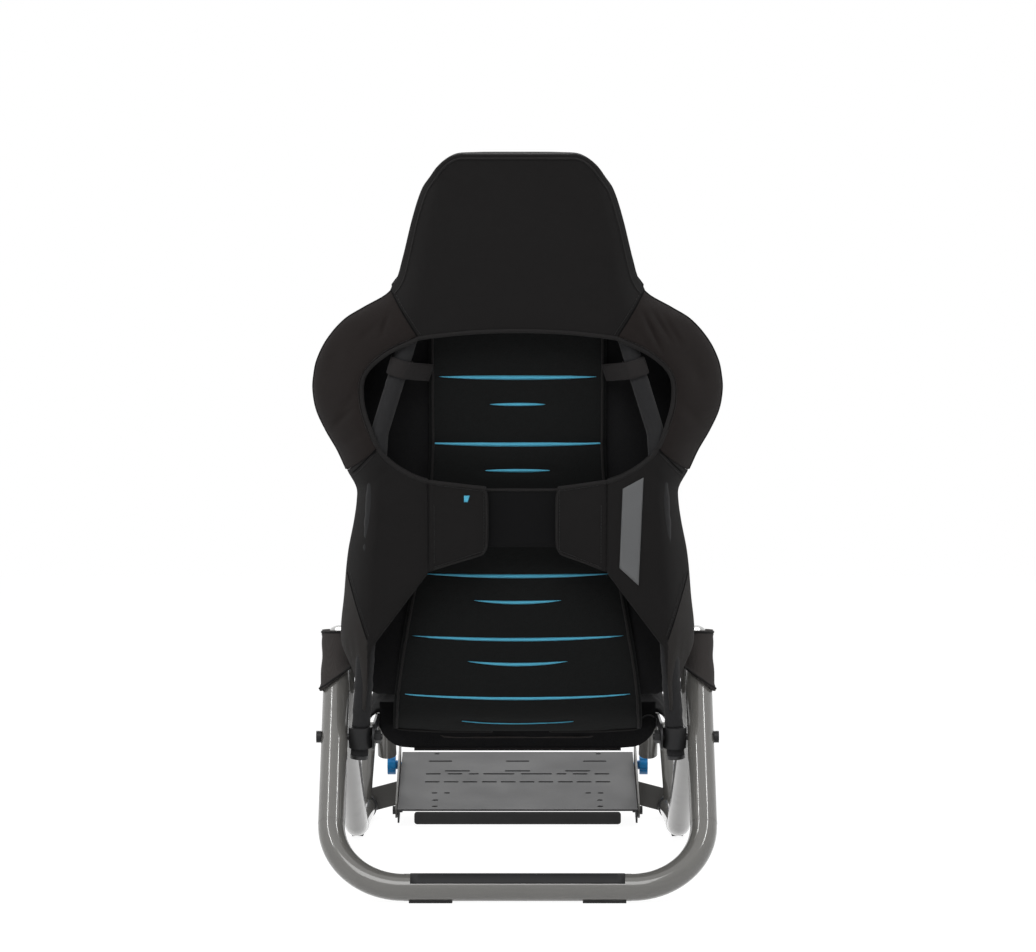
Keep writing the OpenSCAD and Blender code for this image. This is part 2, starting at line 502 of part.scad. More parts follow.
module pedal_knob(s) color([0.0, 0.5, 0.82]) translate(at(s * (cheek_x + cheek_t + 0.4), knob_u, knob_z))
    rotate([0, s * 90, 0]) {
        translate([0, 0, -12]) cylinder(d = stud_d, h = 13);
        cylinder(d = 16, h = 6);
        translate([0, 0, 6]) linear_extrude(14) difference() {
            circle(d = 34);
            for (k = [0:5]) rotate(k * 60) translate([19.5, 0]) circle(d = 9, $fn = 24);
        }
    }

// ---- wheel deck on its arms ----
arm_u = 1200;              // hinge of the arms
arm_z = 155;
arm_x = 222;
arm_d = 32;
fork_d = 25;
fork_x = 150;
function arm_foot(s) = at(s * arm_x, arm_u + 22, arm_z - 44);
elbow_1 = [222, 1152, 250];
elbow_2 = [150, 1074, 372];
arm_top = [150, 996, 494];
module arm_posts() color([0.43, 0.42, 0.41]) for (s = [-1, 1]) {
    difference() {
        rod(at(s * half, arm_u, floor_z), at(s * 250, arm_u, arm_z), 22);
        rod(toe(s), runner_end(s), tube_d + 0.1);
        across(s * 250, arm_u, arm_z, 27.9, 60);
    }
    difference() {
        across(s * 250, arm_u, arm_z, 28, 20);
        across(s * 250, arm_u, arm_z, 10.2, 60);
    }
}
module arm_pivot_bolts() color([0.1, 0.1, 0.1]) for (s = [-1, 1]) {
    across(s * 232, arm_u, arm_z, 10, 64);
    across(s * 264.2, arm_u, arm_z, 17, 8);
}
module wheel_arms() color([0.43, 0.42, 0.41]) {
    difference() {
        for (s = [-1, 1]) bent_tube([arm_foot(s), at(s * elbow_1[0], elbow_1[1], elbow_1[2]),
            at(s * elbow_2[0], elbow_2[1], elbow_2[2]), at(s * arm_top[0], arm_top[1], arm_top[2])],
            [0, 60, 60, 0], arm_d, 2.5);
        for (s = [-1, 1]) across(s * arm_x, arm_u, arm_z, 10.12, 60);
    }
    brace = lerp(elbow_2, arm_top, 0.3);
    difference() {
        across(0, brace[1], brace[2], 25, 2 * fork_x);
        for (s = [-1, 1]) rod(at(s * elbow_2[0], elbow_2[1], elbow_2[2]), at(s * arm_top[0], arm_top[1], arm_top[2]),
            arm_d - 0.1);
    }
}
fork_dir = unit(at(0, arm_top[1], arm_top[2]) - at(0, elbow_2[1], elbow_2[2]));
function fork_low(s) = at(s * fork_x, elbow_2[1], elbow_2[2]) + fork_dir * 60;
function fork_top(s) = at(s * fork_x, arm_top[1], arm_top[2]) + fork_dir * 72;
module arm_bushes() color([0.08, 0.08, 0.08]) for (s = [-1, 1]) {
    t = at(s * fork_x, arm_top[1], arm_top[2]);
    aim(t, t + fork_dir) {
        translate([0, 0, gap]) linear_extrude(7) annulus(arm_d + 3, (arm_d + 3 - fork_d) / 2 - 0.1);
        translate([0, 0, -30]) linear_extrude(30 + gap) annulus(arm_d - 5.2, (arm_d - 5.2 - fork_d) / 2 - 0.1);
    }
}
module wheel_fork() color([0.5, 0.5, 0.5]) difference() {
    for (s = [-1, 1]) {
        rod(fork_low(s), fork_top(s), fork_d - 0.1);
        across(s * fork_x, fork_hinge[0], fork_hinge[1], 30, 26);
    }
    for (s = [-1, 1]) across(s * fork_x, fork_hinge[0], fork_hinge[1], 8.12, 60);
}
fork_hinge = [rear_y - fork_top(1).y, fork_top(1).z];
module height_knob(s) color([0.08, 0.08, 0.08]) {
    c = at(s * arm_top[0], arm_top[1], arm_top[2]) - fork_dir * 22;
    translate([s * (fork_x + arm_d / 2 + 1.5), c.y, c.z]) rotate([0, s * 90, 0]) {
        cylinder(d = 14, h = 6);
        translate([0, 0, 6]) linear_extrude(12) difference() {
            circle(d = 30);
            for (k = [0:5]) rotate(k * 60) translate([17.5, 0]) circle(d = 8, $fn = 24);
        }
    }
}
side_x = fork_x + 14;
module deck_hinge_bolts() color([0.1, 0.1, 0.1]) for (s = [-1, 1]) {
    across(s * (fork_x + 4), fork_hinge[0], fork_hinge[1], 8, 38);
    across(s * (side_x + 7.5), fork_hinge[0], fork_hinge[1], 15, 5);
}
deck_t = 4;
deck_lift = 30;            // height of the deck's underside above its hinge
deck_slots = [[-66, 58], [66, 58], [-66, 102], [66, 102], [-40, 30], [40, 30], [-40, 130], [40, 130]];
module deck_frame() translate(at(0, fork_hinge[0], fork_hinge[1])) children();
module wheel_deck() color([0.2, 0.2, 0.2]) deck_frame()
    translate([0, -deck_depth / 2 + 20, deck_lift]) linear_extrude(deck_t) difference() {
        rounded(deck_w + 34, deck_depth, 14);
        for (p = deck_slots) translate([p[0], p[1] - deck_depth / 2]) slot(26, 6.5);
        slot(60, 30);
    }
module deck_side_plates() color([0.2, 0.2, 0.2]) deck_frame() for (s = [-1, 1]) {
    difference() {
        translate([s > 0 ? side_x : -side_x - 4, 0, 0]) rotate([90, 0, 90]) linear_extrude(4)
            hull() {
                circle(r = 16);
                translate([-66, deck_lift - 1.2]) square([70, 1]);
            }
        rotate([0, 90, 0]) cylinder(d = 8.2, h = 600, center = true);
    }
    translate([s > 0 ? side_x - 16 : -side_x + 4, -66, deck_lift - 4.2]) cube([12, 70, 4]);
}

rear_loop();
side_tube(1);  // side_tube_left
side_tube(-1);  // side_tube_right
joint_spigots();
joint_screws();
runner_collars();
floor_pads();
pivot_plates();
pivot_bolts();
pivot_nuts();
seat_hoop();
seat_struts();
seat_cushion();
seat_sling();
seat_strap(1);  // seat_strap_left
seat_strap(-1);  // seat_strap_right
backrest_hoop();
backrest_collars();
backrest_end_caps();
headrest_pad();
wing(1);  // wing_left
wing(-1);  // wing_right
side_cover(1);  // side_cover_left
side_cover(-1);  // side_cover_right
lumbar_flap(1);  // lumbar_flap_left
lumbar_flap(-1);  // lumbar_flap_right
lumbar_band();
back_sling();
back_bolster(1);  // back_bolster_left
back_bolster(-1);  // back_bolster_right
shoulder_pad();
tube_tab(1);  // tube_tab_left
tube_tab(-1);  // tube_tab_right
slide_tube(1);  // slide_tube_left
slide_tube(-1);  // slide_tube_right
slide_end_caps();
pedal_bracket(1);  // pedal_bracket_left
pedal_bracket(-1);  // pedal_bracket_right
pedal_plate();
heel_stop();
pedal_pivot_bolts();
pedal_knob(1);  // pedal_knob_left
pedal_knob(-1);  // pedal_knob_right
arm_posts();
arm_pivot_bolts();
wheel_arms();
arm_bushes();
wheel_fork();
height_knob(1);  // height_knob_left
height_knob(-1);  // height_knob_right
deck_hinge_bolts();
wheel_deck();
deck_side_plates();
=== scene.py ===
# %% [markdown]
# # A driving simulator seat
# A tube frame carries a fabric seat, a pedal plate and a wheel deck. The frame's metal parts arrive as
# finished solids. This lesson gives them their finishes and sews the soft parts: covers, cushions, straps
# and sleeves. We start by loading the solids.

# %% Load the frame
import json
import math

import bmesh
import bpy
import numpy as np
from mathutils import Matrix, Vector
from mathutils.bvhtree import BVHTree


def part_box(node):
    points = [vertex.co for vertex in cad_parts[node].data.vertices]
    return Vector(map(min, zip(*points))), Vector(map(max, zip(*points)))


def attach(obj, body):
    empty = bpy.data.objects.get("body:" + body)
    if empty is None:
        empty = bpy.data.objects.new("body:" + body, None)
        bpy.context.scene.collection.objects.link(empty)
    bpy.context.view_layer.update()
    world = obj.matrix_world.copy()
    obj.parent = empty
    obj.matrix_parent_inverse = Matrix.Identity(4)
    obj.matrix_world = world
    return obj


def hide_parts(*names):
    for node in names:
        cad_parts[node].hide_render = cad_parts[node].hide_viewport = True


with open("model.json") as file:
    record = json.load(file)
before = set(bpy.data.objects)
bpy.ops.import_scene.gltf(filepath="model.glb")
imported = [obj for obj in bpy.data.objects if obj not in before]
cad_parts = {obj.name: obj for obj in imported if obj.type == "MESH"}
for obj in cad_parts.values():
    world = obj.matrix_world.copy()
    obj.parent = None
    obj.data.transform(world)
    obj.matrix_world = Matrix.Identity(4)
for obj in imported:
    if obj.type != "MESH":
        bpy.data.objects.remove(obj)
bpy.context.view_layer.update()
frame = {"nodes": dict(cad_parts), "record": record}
MM = 0.001

# %% [markdown]
# ## Camera
# The camera stands level behind the seat, 5.25 m from the rear bar. A long lens this far away keeps the
# side tubes nearly parallel, as in a catalogue picture. The rear bar's place is read from the frame, so
# the distance stays right if the frame changes.

# %% Camera
TUBE = 38.0                 # diameter of the main tube, mm
rear_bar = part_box("rear_loop")[1].y - TUBE / 2 * MM
EYE_BACK, EYE_HIGH = 5.25, 0.61
LENS, SENSOR = 132.2, 36    # mm
SHIFT = 0.0004              # moves the picture sideways by this share of its width
DIP = math.radians(0.23)    # the camera looks down by this much

lens = bpy.data.cameras.new("rear_view")
lens.lens, lens.sensor_width, lens.shift_x = LENS, SENSOR, SHIFT
camera = bpy.data.objects.new("rear_view", lens)
camera.location = (0, rear_bar + EYE_BACK, EYE_HIGH)
camera.rotation_euler = (math.pi / 2 - DIP, 0, math.pi)
bpy.context.scene.collection.objects.link(camera)
bpy.context.scene.camera = camera
bpy.context.scene.view_settings.view_transform = "Standard"
print("camera at", tuple(round(c, 3) for c in camera.location))

# %% [markdown]
# ## Writing materials as sums
# A material in Blender is a graph of nodes. Wiring each node by hand hides the idea behind it, so a small
# class wraps a socket and lets us write `0.3 + 0.1 * grain`. Colours are mixed with Mix nodes and places
# are scaled with Vector Math, because a Math node would turn a colour grey. A finish is such a graph with
# a shader at its end.

# %% Signals and finishes
class Signal:
    """A number on its way through a tree of nodes."""
    def __init__(self, graph, socket):
        self.graph, self.socket = graph, socket

    def math(self, operation, *values):
        return self.graph.node("Math", {"operation": operation}, *values)

    def __add__(self, other):
        return self.math("ADD", self, other)

    def __radd__(self, other):
        return self.math("ADD", other, self)

    def __sub__(self, other):
        return self.math("SUBTRACT", self, other)

    def __rsub__(self, other):
        return self.math("SUBTRACT", other, self)

    def __mul__(self, other):
        return self.math("MULTIPLY", self, other)

    def __rmul__(self, other):
        return self.math("MULTIPLY", other, self)

    def sine(self):
        return self.math("SINE", self)

    def clamp(self):
        return self.graph.node("Clamp", {}, self)


class Graph:
    """A tree of shader nodes, built node by node."""
    def __init__(self, tree):
        self.tree = tree

    def feed(self, socket, value):
        if isinstance(value, Signal):
            self.tree.links.new(value.socket, socket)
        elif isinstance(value, tuple) and len(value) == 3 and len(socket.default_value) == 4:
            socket.default_value = (*value, 1)
        else:
            socket.default_value = value

    def node(self, kind, settings, *values, out=0, **named):
        made = self.tree.nodes.new("ShaderNode" + kind)
        for key, value in settings.items():
            if key == "stops":
                for stop, (at, level) in zip(made.color_ramp.elements, value):
                    stop.position, stop.color = at, (level, level, level, 1)
            else:
                setattr(made, key, value)
        for key, value in [*enumerate(values), *named.items()]:
            self.feed(made.inputs[key], value)
        return Signal(self, made.outputs[out])


class Finish(Graph):
    """One material, with the patterns that the finishes below share."""
    def __init__(self, name):
        self.material = bpy.data.materials.new(name)
        self.material.use_nodes = True
        super().__init__(self.material.node_tree)
        self.shader = self.tree.nodes["Principled BSDF"]
        self.place = self.node("TexCoord", {}, out="Object")

    def mix(self, share, a, b):
        made = self.node("Mix", {"data_type": "RGBA"}, out=2)
        sockets = made.socket.node.inputs
        for key, value in ((0, share), (6, a), (7, b)):
            self.feed(sockets[key], value)
        return made

    def stretched(self, factor):
        return self.node("VectorMath", {"operation": "MULTIPLY"}, self.place, factor)

    def axes(self):
        split = self.node("SeparateXYZ", {}, self.place).socket.node.outputs
        return [Signal(self, split[k]) for k in range(3)]

    def noise(self, scale, detail=2.0, place=None):
        return self.node("TexNoise", {}, Vector=place or self.place, Scale=scale, Detail=detail, out="Fac")

    def cells(self, scale):
        return self.node("TexVoronoi", {}, Vector=self.place, Scale=scale, out="Distance")

    def ramp(self, value, *stops):
        return self.node("ValToRGB", {"stops": stops}, value, out="Color")

    def bump(self, height, depth, strength=1.0):
        return self.node("Bump", {}, Height=height, Distance=depth, Strength=strength)

    def done(self, bump, **sockets):
        for name, value in sockets.items():
            self.feed(self.shader.inputs[name.replace("_", " ")], value)
        self.feed(self.shader.inputs["Normal"], bump)
        return self.material


def linear(*levels):
    """A colour written as screen levels from 0 to 255, turned into the linear values that shaders use."""
    return tuple((v / 255 / 12.92 if v < 10.3 else ((v / 255 + 0.055) / 1.055) ** 2.4) for v in levels)


print("linear value of a mid grey:", round(linear(128)[0], 3))

# %% [markdown]
# ## Painted and bare metal
# The big tubes are painted a warm grey with fine metal flakes under a clear coat, so they need a base
# that is a little metallic and a coat over it, in which the lamps show as sharp streaks. The plate and
# the brackets are powder coated, which leaves an orange-peel surface. The inner slide tubes are zinc
# plated, with faint drawing lines along their length.

# %% Metal finishes
def tube_paint(name, level):
    """Flake paint under a coat. `level` is its plain grey, from 0 to 255."""
    f = Finish(name)
    f.shader.inputs["Specular IOR Level"].default_value = 0.1
    f.shader.inputs["Coat IOR"].default_value = 1.6
    flakes = f.cells(2600)
    drift = f.noise(9)
    scuffs = f.ramp(f.noise(38, 6), (0.58, 0), (0.74, 1))
    plain = linear(level, level - 1, level - 4)
    glint = linear(level + 26, level + 24, level + 20)
    dull = linear(level - 18, level - 19, level - 21)
    return f.done(Base_Color=f.mix(drift * 0.25, f.mix(flakes * 0.5, plain, glint), dull),
                  Metallic=0.1, Roughness=0.3 + 0.12 * drift + 0.1 * scuffs, Coat_Weight=1.0,
                  Coat_Roughness=0.07, bump=f.bump(f.noise(420), 0.00003, 0.3))


def powder_coat(name, colour, rough, metallic, peel=0.00012):
    """Baked powder paint, whose surface has an orange peel `peel` metres high."""
    f = Finish(name)
    f.shader.inputs["Specular IOR Level"].default_value = 0.25
    drift = f.noise(14, 3)
    edge = f.ramp(f.noise(60, 8), (0.6, 0), (0.8, 1))
    lighter = tuple(min(1, c * 1.5 + 0.004) for c in colour)
    return f.done(Base_Color=f.mix(drift * 0.5 + edge * 0.15, colour, lighter),
                  Metallic=metallic, Roughness=rough - 0.08 + 0.16 * drift,
                  bump=f.bump(f.noise(1100, 2) + 0.4 * f.cells(700), peel, 0.5))


def drawn_steel(name, level, along):
    """Plated tube. Its drawing lines run along the axis that has the smallest factor in `along`."""
    f = Finish(name)
    lines = f.noise(900, 3, f.stretched(along))
    stain = f.noise(16, 4)
    return f.done(Base_Color=f.mix(lines * 0.5 + stain * 0.3, linear(level, level, level + 2),
                                   linear(level - 30, level - 31, level - 30)),
                  Metallic=0.9, Roughness=0.3 + 0.16 * lines, bump=f.bump(lines, 0.00003, 0.4))


frame_paint = tube_paint("frame_paint", 100)
plate_paint = powder_coat("plate_paint", linear(48, 48, 49), 0.6, 0.0)
bracket_paint = powder_coat("bracket_paint", linear(88, 87, 85), 0.5, 0.2)
black_steel = powder_coat("black_steel", linear(34, 34, 35), 0.42, 0.2)
zinc = drawn_steel("zinc_steel", 165, (1, 0.04, 1))
band_film = powder_coat("band_film", linear(27, 27, 28), 0.6, 0.0, 0.00004)
print("metal finishes: 6")

# %% [markdown]
# ## Plastic and rubber
# Caps, collars and knobs are moulded. A mould leaves a fine spark-eroded grain, which shows as a soft
# sheen instead of a mirror. The rubber under the tubes is duller and dustier.

# %% Moulded finishes
def moulded(name, colour, rough, grain=0.00006):
    f = Finish(name)
    mottle = f.noise(30, 4)
    lighter = tuple(min(1, c * 1.25 + 0.003) for c in colour)
    return f.done(Base_Color=f.mix(mottle * 0.6, colour, lighter), Roughness=rough - 0.06 + 0.14 * mottle,
                  bump=f.bump(f.noise(1500, 2), grain, 0.5))


black_plastic = moulded("black_plastic", linear(30, 30, 31), 0.42)
blue_plastic = moulded("blue_plastic", linear(18, 136, 205), 0.34)
rubber = moulded("rubber", linear(26, 26, 26), 0.8, 0.00015)
print("moulded finishes: 3")

# %% [markdown]
# ## Fabrics
# All the cloth is black, yet no two cloths look the same. The cover is a fine tricot with a soft sheen,
# the wings are a warmer brushed cloth, the centre panels are an open spacer mesh, the straps are woven
# webbing and the tube sleeves are a ribbed knit. Each is the same recipe with another thread pattern:
# sines for woven threads, and cells for the holes of a mesh. Seen small, black cloth shows by its wear
# and lint, so both are mixed into the colour. The thread pattern is laid out along (x + y) and z, so it
# also works on sides that turn.

# %% Fabric finishes
def thread_grid(f, across, along):
    """Over-and-under height of a weave whose threads lie `across` and `along` metres apart."""
    x, y, z = f.axes()
    return ((x + y) * (2 * math.pi / across)).sine() * ((z + 0.35 * y) * (2 * math.pi / along)).sine()


def cloth(name, colour, height, depth, sheen=0.03, rough=0.9):
    """A fabric whose threads have the pattern `height` and stand `depth` metres high."""
    f = Finish(name)
    threads = height(f)
    wear = f.noise(7, 5)
    lint = f.ramp(f.noise(520, 2), (0.62, 0), (0.8, 1))
    lighter = tuple(min(1, c * 1.7 + 0.004) for c in colour)
    share = (wear * 0.35 + threads * 0.12 + lint * 0.12).clamp()
    f.shader.inputs["Sheen Weight"].default_value = sheen
    f.shader.inputs["Sheen Roughness"].default_value = 0.45
    f.shader.inputs["Specular IOR Level"].default_value = 0.1
    return f.done(Base_Color=f.mix(share, colour, lighter), Roughness=rough - 0.06 + 0.1 * wear,
                  bump=f.bump(threads + 0.6 * f.noise(240, 4), depth, 0.6))


def mesh_holes(f):
    return f.ramp(f.cells(430), (0.1, 0), (0.5, 1))


def woven(across, along):
    """The height pattern of a weave, for `cloth`."""
    return lambda f: thread_grid(f, across, along)


cover_cloth = cloth("cover_fabric", linear(25, 24, 24), woven(0.0011, 0.0013), 0.00016)
wing_cloth = cloth("wing_fabric", linear(30, 26, 25), woven(0.0010, 0.0010), 0.00014, 0.05)
# The side gusset cloth is real, but it is painted paler than the cover as a stand-in for the sheen that light
# gives its side.
sheen_painted_side_cloth = cloth("side_fabric_painted_sheen", linear(42, 40, 39), woven(0.0010, 0.0010), 0.00014, 0.06)
spacer_mesh = cloth("mesh_fabric", linear(17, 18, 18), mesh_holes, 0.0005, 0.02)
pad_cloth = cloth("pad_fabric", linear(19, 19, 20), mesh_holes, 0.0004, 0.02)
webbing = cloth("strap_fabric", linear(57, 54, 53), woven(0.0022, 0.0016), 0.0003, 0.04)
dark_webbing = cloth("tab_webbing", linear(40, 38, 38), woven(0.0022, 0.0016), 0.0003, 0.04)
tape = cloth("binding_tape", linear(31, 30, 30), woven(0.0016, 0.0016), 0.00025, 0.04, 0.8)
sleeve_knit = cloth("sleeve_fabric", linear(40, 40, 41), woven(0.0018, 0.0030), 0.0003, 0.08)
patch_cloth = cloth("patch_fabric", linear(98, 99, 100), woven(0.0014, 0.0014), 0.0002, 0.04)
blue_thread = cloth("blue_thread", linear(84, 174, 206), woven(0.0012, 0.0009), 0.0003, 0.1, 0.6)
# Near-black cord colour: painted shade that stands in for the dark grooves of the sewn seams.
painted_seam_shade = cloth("painted_seam_shade", linear(7, 7, 7), woven(0.0006, 0.0006), 0.0001, 0.0)
black_thread = cloth("sewing_thread", linear(36, 36, 36), woven(0.0006, 0.0006), 0.0001, 0.1, 0.6)
elastic = cloth("elastic_band", linear(13, 13, 14), woven(0.0030, 0.0014), 0.0003)
print("fabric finishes: 14")

# %% [markdown]
# ## Dressing the solids
# Every solid that stays visible takes one of these finishes, chosen by the material slot that the part's
# record gives it. One table from slot to finish keeps that in one place. The soft solids get theirs here
# too, although sewn pieces replace them later.

# %% Finishes for the solids
finish_of = {
    "frame_paint": frame_paint, "steel": zinc, "black_steel": black_steel, "black_plastic": black_plastic,
    "rubber": rubber, "sleeve_fabric": sleeve_knit, "cover_fabric": cover_cloth, "wing_fabric": wing_cloth,
    "strap_fabric": webbing, "mesh_fabric": spacer_mesh, "pad_fabric": pad_cloth, "plate_paint": plate_paint,
    "bracket_paint": bracket_paint, "blue_plastic": blue_plastic}
slot_of = {s["node"]: s["material_slot"] for s in frame["record"]["subparts"]}
for node, solid in frame["nodes"].items():
    solid.data.materials.clear()
    solid.data.materials.append(finish_of[slot_of[node]])
print("dressed", len(slot_of), "solids")

# %% [markdown]
# ## From a drawing of the backrest to its surface
# The backrest is easiest to draw in its own frame: x across, y to the rear of its tube and z along it, in
# millimetres. One matrix then leans it back and sets it on its pivot. The outline is a table of half
# widths against height, joined by a smooth curve, and a second table says how far the covers wrap forward
# round the sides.

# %% The backrest's own frame and outline
RECLINE = math.radians(10)
HOOP = 25.0                                   # backrest tube
pivot_low, pivot_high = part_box("pivot_bolts")
pivot = (pivot_low + pivot_high) / 2
BACK = Matrix.Translation((0, pivot.y, pivot.z)) @ Matrix.Rotation(-RECLINE, 4, "X") @ Matrix.Scale(MM, 4)
FLOOR = Matrix.Scale(MM, 4)                   # millimetres from the floor's own origin
WORLD = Matrix.Identity(4)                    # points that are in metres already


def turned(x, y, z):
    """A move in the backrest's frame, in millimetres, as a world vector in metres."""
    return BACK.to_3x3() @ Vector((x, y, z))


def curve(points, t):
    """A smooth curve through points of (t, value)."""
    x, y = np.array(points, float).T
    lean = np.empty_like(y)
    lean[1:-1] = (y[2:] - y[:-2]) / (x[2:] - x[:-2])
    lean[0], lean[-1] = (y[1] - y[0]) / (x[1] - x[0]), (y[-1] - y[-2]) / (x[-1] - x[-2])
    i = np.clip(np.searchsorted(x, t) - 1, 0, len(x) - 2)
    w = x[i + 1] - x[i]
    k = np.clip((t - x[i]) / w, 0, 1)
    return ((2 * k**3 - 3 * k**2 + 1) * y[i] + (k**3 - 2 * k**2 + k) * w * lean[i]
            + (3 * k**2 - 2 * k**3) * y[i + 1] + (k**3 - k**2) * w * lean[i + 1])


def smooth(t):
    t = np.clip(t, 0, 1)
    return t * t * (3 - 2 * t)


def bulge(t, power=3):
    """A stuffed section: 0 at both ends of t from 0 to 1, and full between them."""
    return np.sqrt(np.maximum(0, 1 - np.abs(2 * t - 1) ** power))


OUTLINE = [(-10, 214), (40, 226), (84, 234), (131, 251), (201, 246.5), (258, 241), (305, 232), (334, 228),
           (352, 228.5), (376, 241.5), (404, 255), (431, 271.5), (459, 285), (487, 290), (508, 288.5),
           (530, 283.5), (560, 268.5), (590, 243), (608, 216), (628, 184), (651, 166), (680, 157.5),
           (737, 144.5), (779, 131), (800, 118), (810, 111.5), (818, 104), (824, 96), (828, 88), (830, 80)]
WRAP = [(0, 46), (200, 60), (356, 62), (500, 98), (590, 74), (660, 30), (830, 14)]
COVER_Y = 17.0                                # the cover's rear face, behind the tube's middle


def half_w(z):
    return curve(OUTLINE, z)


def hoop_x(z):
    return np.interp(z, [-26, 436, 590, 800], [225, 194, 146, 112])


def wrap_y(x, z):
    """How far behind the tube the cover lies: flat behind it, and curling forward outside it."""
    inner = hoop_x(z) - 6
    w = np.maximum(20, half_w(z) - inner)
    return COVER_Y - curve(WRAP, z) * (np.maximum(0, np.abs(x) - inner) / w) ** 1.7


print("shoulders", 2 * half_w(487.0), "mm wide")

# %% [markdown]
# ## Sewing a pad
# A pad is two cloth faces with a narrow strip, the gusset, between their rims. Each face is a grid of
# points that a formula places, so the same few lines make a headrest, a wing or a seat. The strip bulges
# a little outward, as a stuffed one does. Folds are part of a face's formula: each is a groove along a
# line, with a width and a depth.

# %% Pads from two faces
def make_object(name, points, faces, finish, matrix=BACK):
    """A smooth object from points in `matrix`'s frame."""
    mesh = bpy.data.meshes.new(name)
    mesh.from_pydata([tuple(p) for p in points], [], faces)
    mesh.transform(matrix)
    mesh.update()
    made = bpy.data.objects.new(name, mesh)
    bpy.context.scene.collection.objects.link(made)
    mesh.materials.append(finish)
    mesh.polygons.foreach_set("use_smooth", [True] * len(mesh.polygons))
    return made


def rim_of(n, m):
    """The border of a grid of n rows and m columns, once round."""
    return ([(0, j) for j in range(m - 1)] + [(i, m - 1) for i in range(n - 1)]
            + [(n - 1, j) for j in range(m - 1, 0, -1)] + [(i, 0) for i in range(n - 1, 0, -1)])


def sew_pad(name, rear, front, finish, matrix=BACK, strips=3, out=2.0):
    """A closed pad from two grids of points and a gusset of `strips` strips, which bulges `out` mm."""
    n, m = rear.shape[:2]
    rim = rim_of(n, m)
    points = [*rear.reshape(-1, 3), *front.reshape(-1, 3)]
    faces = []
    for g, flip in ((0, False), (n * m, True)):
        for i in range(n - 1):
            for j in range(m - 1):
                quad = [g + i * m + j, g + (i + 1) * m + j, g + (i + 1) * m + j + 1, g + i * m + j + 1]
                faces.append(quad[::-1] if flip else quad)
    a = np.array([rear[i, j] for i, j in rim])
    b = np.array([front[i, j] for i, j in rim])
    inside = [(min(max(i, 1), n - 2), min(max(j, 1), m - 2)) for i, j in rim]
    inner = np.array([(rear[at] + front[at]) / 2 for at in inside])
    push = (a + b) / 2 - inner
    push /= np.maximum(1e-6, np.linalg.norm(push, axis=1, keepdims=True))
    rings = [[i * m + j for i, j in rim]]
    for k in range(1, strips):
        s = k / strips
        rings.append(list(range(len(points), len(points) + len(rim))))
        points += list(a * (1 - s) + b * s + push * out * math.sin(math.pi * s))
    rings.append([n * m + i * m + j for i, j in rim])
    for low, high in zip(rings, rings[1:]):
        for k in range(len(rim)):
            q = (k + 1) % len(rim)
            faces.append([low[k], low[q], high[q], high[k]])
    made = make_object(name, points, faces, finish, matrix)
    tidy_normals(made)
    return made


def tidy_normals(made):
    work = bmesh.new()
    work.from_mesh(made.data)
    bmesh.ops.recalc_face_normals(work, faces=work.faces)
    work.to_mesh(made.data)
    work.free()


def grid(rows, cols):
    """Row and column shares from 0 to 1, closer together near the rims, where a pad curves most."""
    def spread(n):
        s = np.linspace(0, 1, n + 1)
        return 0.45 * s + 0.55 * (1 - np.cos(math.pi * s)) / 2
    return np.meshgrid(spread(rows), spread(cols), indexing="ij")


def ripple(x, z, size, seed=0.0):
    """Gentle unevenness of hand-sewn cloth, from -1 to 1."""
    total = 0
    for k in range(5):
        a = 2.4 * k + seed
        waves = (x * math.cos(a) + z * math.sin(a)) / size * (1 + 0.27 * k)
        total = total + np.sin(waves * 6.28 + 1.7 * k + seed)
    return total / 5


def folds(x, z, lines):
    """Depth of pressed-in folds. Each line is (x0, z0, x1, z1, width, depth)."""
    total = np.zeros_like(x)
    for x0, z0, x1, z1, width, depth in lines:
        dx, dz = x1 - x0, z1 - z0
        s = np.clip(((x - x0) * dx + (z - z0) * dz) / (dx * dx + dz * dz), 0, 1)
        away = np.hypot(x - x0 - s * dx, z - z0 - s * dz)
        total += depth * np.exp(-((away / width) ** 2)) * (0.35 + 0.65 * np.sin(math.pi * s))
    return total


print("a pad's rim on a 3 by 3 grid has", len(rim_of(3, 3)), "points")

# %% [markdown]
# ## Seams, piping and stitches
# Where two cloths meet there is a seam: often a thin fabric cord, the piping, or a flat bound edge, and
# always a row of stitches beside it. Both follow a line of points. The line is first laid on the cloth by
# looking up the nearest point of its surface, so a seam follows the cushion when it swells.

# %% Lines laid on cloth
def surface_of(*objects):
    points, faces = [], []
    for o in objects:
        base = len(points)
        points += [o.matrix_world @ v.co for v in o.data.vertices]
        faces += [[base + i for i in p.vertices] for p in o.data.polygons]
    return BVHTree.FromPolygons(points, faces)


def resample(points, step):
    """The same line with points `step` apart."""
    p = np.array(points, float)
    run = np.concatenate([[0], np.cumsum(np.linalg.norm(np.diff(p, axis=0), axis=1))])
    count = max(2, int(round(run[-1] / step)) + 1)
    at = np.linspace(0, run[-1], count)
    return np.stack([np.interp(at, run, p[:, k]) for k in range(3)], axis=1)


def lay(points, tree, lift=0.0, matrix=BACK):
    """World points of a line laid on a surface, and the surface's normals there."""
    placed, normals = [], []
    for p in points:
        near, normal, _, _ = tree.find_nearest(matrix @ Vector(p))
        placed.append(near + normal * lift * MM)
        normals.append(normal)
    return placed, normals


def ring_faces(rings, sides, base=0, closed=False):
    """Faces between rings of points that follow one another, from point number `base` on."""
    faces = []
    for k in range(rings if closed else rings - 1):
        ring, after = base + k * sides, base + (k + 1) % rings * sides
        for j in range(sides):
            q = (j + 1) % sides
            faces.append([ring + j, ring + q, after + q, after + j])
    if not closed:
        faces.append([base + j for j in range(sides)][::-1])
        faces.append([base + (rings - 1) * sides + j for j in range(sides)])
    return faces


